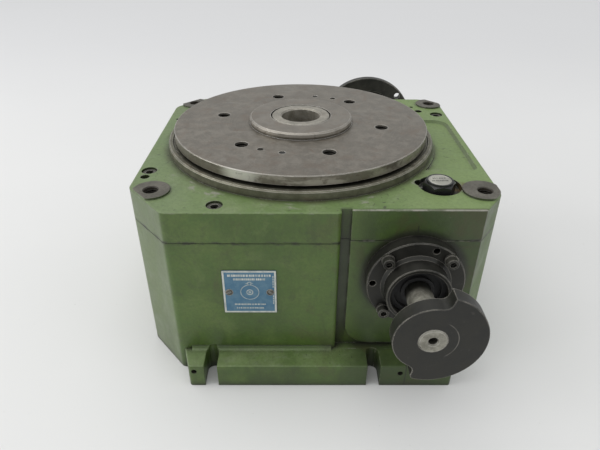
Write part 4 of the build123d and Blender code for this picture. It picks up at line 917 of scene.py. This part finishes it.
# ---- floor, light, camera ----
def floor():
    """Pale scuffed floor, with painted shade that makes it a little greyer towards the back."""
    bpy.ops.mesh.primitive_circle_add(
        vertices=96, radius=14.0, fill_type="NGON", location=(0, 0, cad_low.z - 0.0002),
    )
    ground = bpy.context.object
    ground.name = "floor"
    s = Shader("floor_paint")
    broad = s.noise(3.0, 4.0, 0.5)
    marks = s.range(s.noise(24.0, 6.0, 0.75, 0.4), 0.64, 0.80, 0.0, 0.22)
    specks = s.range(s.noise(160.0, 3.0, 0.6), 0.70, 0.76, 0.0, 0.30)
    base = s.mix(broad, (0.712, 0.710, 0.702), (0.752, 0.750, 0.742))
    # Greyer towards the back: painted shade.
    base = s.mix(s.range(s.axes()[1], 0.1, 1.3, 0.0, 0.8), base, (0.655, 0.655, 0.662))
    base = s.mix(marks, base, (0.58, 0.57, 0.54))
    base = s.mix(specks, base, (0.45, 0.44, 0.40))
    ground.data.materials.append(s.finish(base, 0.75, 0.0))


def sun(name, place, strength, spread, color):
    """Even light from one direction, with the soft shadows of a wide source."""
    data = bpy.data.lights.new(name, "SUN")
    data.energy = strength
    data.angle = math.radians(spread)
    data.color = color
    light = bpy.data.objects.new(name, data)
    light.rotation_euler = (-Vector(place)).to_track_quat("-Z", "Y").to_euler()
    light.location = place
    bpy.context.scene.collection.objects.link(light)


def area_light(name, place, target, size, power):
    """Rectangular lamp at place that looks at target."""
    data = bpy.data.lights.new(name, "AREA")
    data.shape = "RECTANGLE"
    data.size, data.size_y = size
    data.energy = power
    light = bpy.data.objects.new(name, data)
    light.location = place
    light.rotation_euler = (Vector(target) - Vector(place)).to_track_quat("-Z", "Y").to_euler()
    bpy.context.scene.collection.objects.link(light)


def lights():
    """Bright even surroundings, a wide light from above and two weak lamps at the sides."""
    world = bpy.data.worlds.new("studio")
    world.use_nodes = True
    bpy.context.scene.world = world
    background = world.node_tree.nodes["Background"]
    background.inputs["Color"].default_value = (0.96, 0.98, 1.0, 1.0)
    background.inputs["Strength"].default_value = 0.62
    sun("high_sun", (-0.20, 0.10, 1.0), 1.12, 70, (1.0, 0.99, 0.97))
    area_light("left", (-2.3, -0.4, 1.1), (0, 0, 0.1), (1.6, 1.4), 22.0)
    area_light("right", (2.2, -0.9, 1.3), (0.1, 0, 0.1), (1.6, 1.4), 5.0)


CAMERA_PLACE = Vector((-3.28, -497.85, 375.28)) * MM
CAMERA_YAW = 0.00624
CAMERA_PITCH = -0.55646
CAMERA_ROLL = 0.00519
CAMERA_LENS = 30.957


def camera():
    """Camera that sees the object from where the photo was taken."""
    data = bpy.data.cameras.new("camera")
    data.sensor_width = 36.0
    data.lens = CAMERA_LENS
    data.clip_start = 0.01
    data.clip_end = 60.0
    eye = bpy.data.objects.new("camera", data)
    ahead = Vector((
        math.sin(CAMERA_YAW) * math.cos(CAMERA_PITCH),
        math.cos(CAMERA_YAW) * math.cos(CAMERA_PITCH),
        math.sin(CAMERA_PITCH),
    ))
    flat_right = ahead.cross(Vector((0, 0, 1))).normalized()
    flat_up = flat_right.cross(ahead)
    right = math.cos(CAMERA_ROLL) * flat_right + math.sin(CAMERA_ROLL) * flat_up
    up = math.cos(CAMERA_ROLL) * flat_up - math.sin(CAMERA_ROLL) * flat_right
    eye.matrix_world = Matrix((
        (right.x, up.x, -ahead.x, CAMERA_PLACE.x),
        (right.y, up.y, -ahead.y, CAMERA_PLACE.y),
        (right.z, up.z, -ahead.z, CAMERA_PLACE.z),
        (0, 0, 0, 1),
    ))
    bpy.context.scene.collection.objects.link(eye)
    bpy.context.scene.camera = eye


floor()
lights()
camera()
bpy.context.scene.view_settings.view_transform = "Standard"
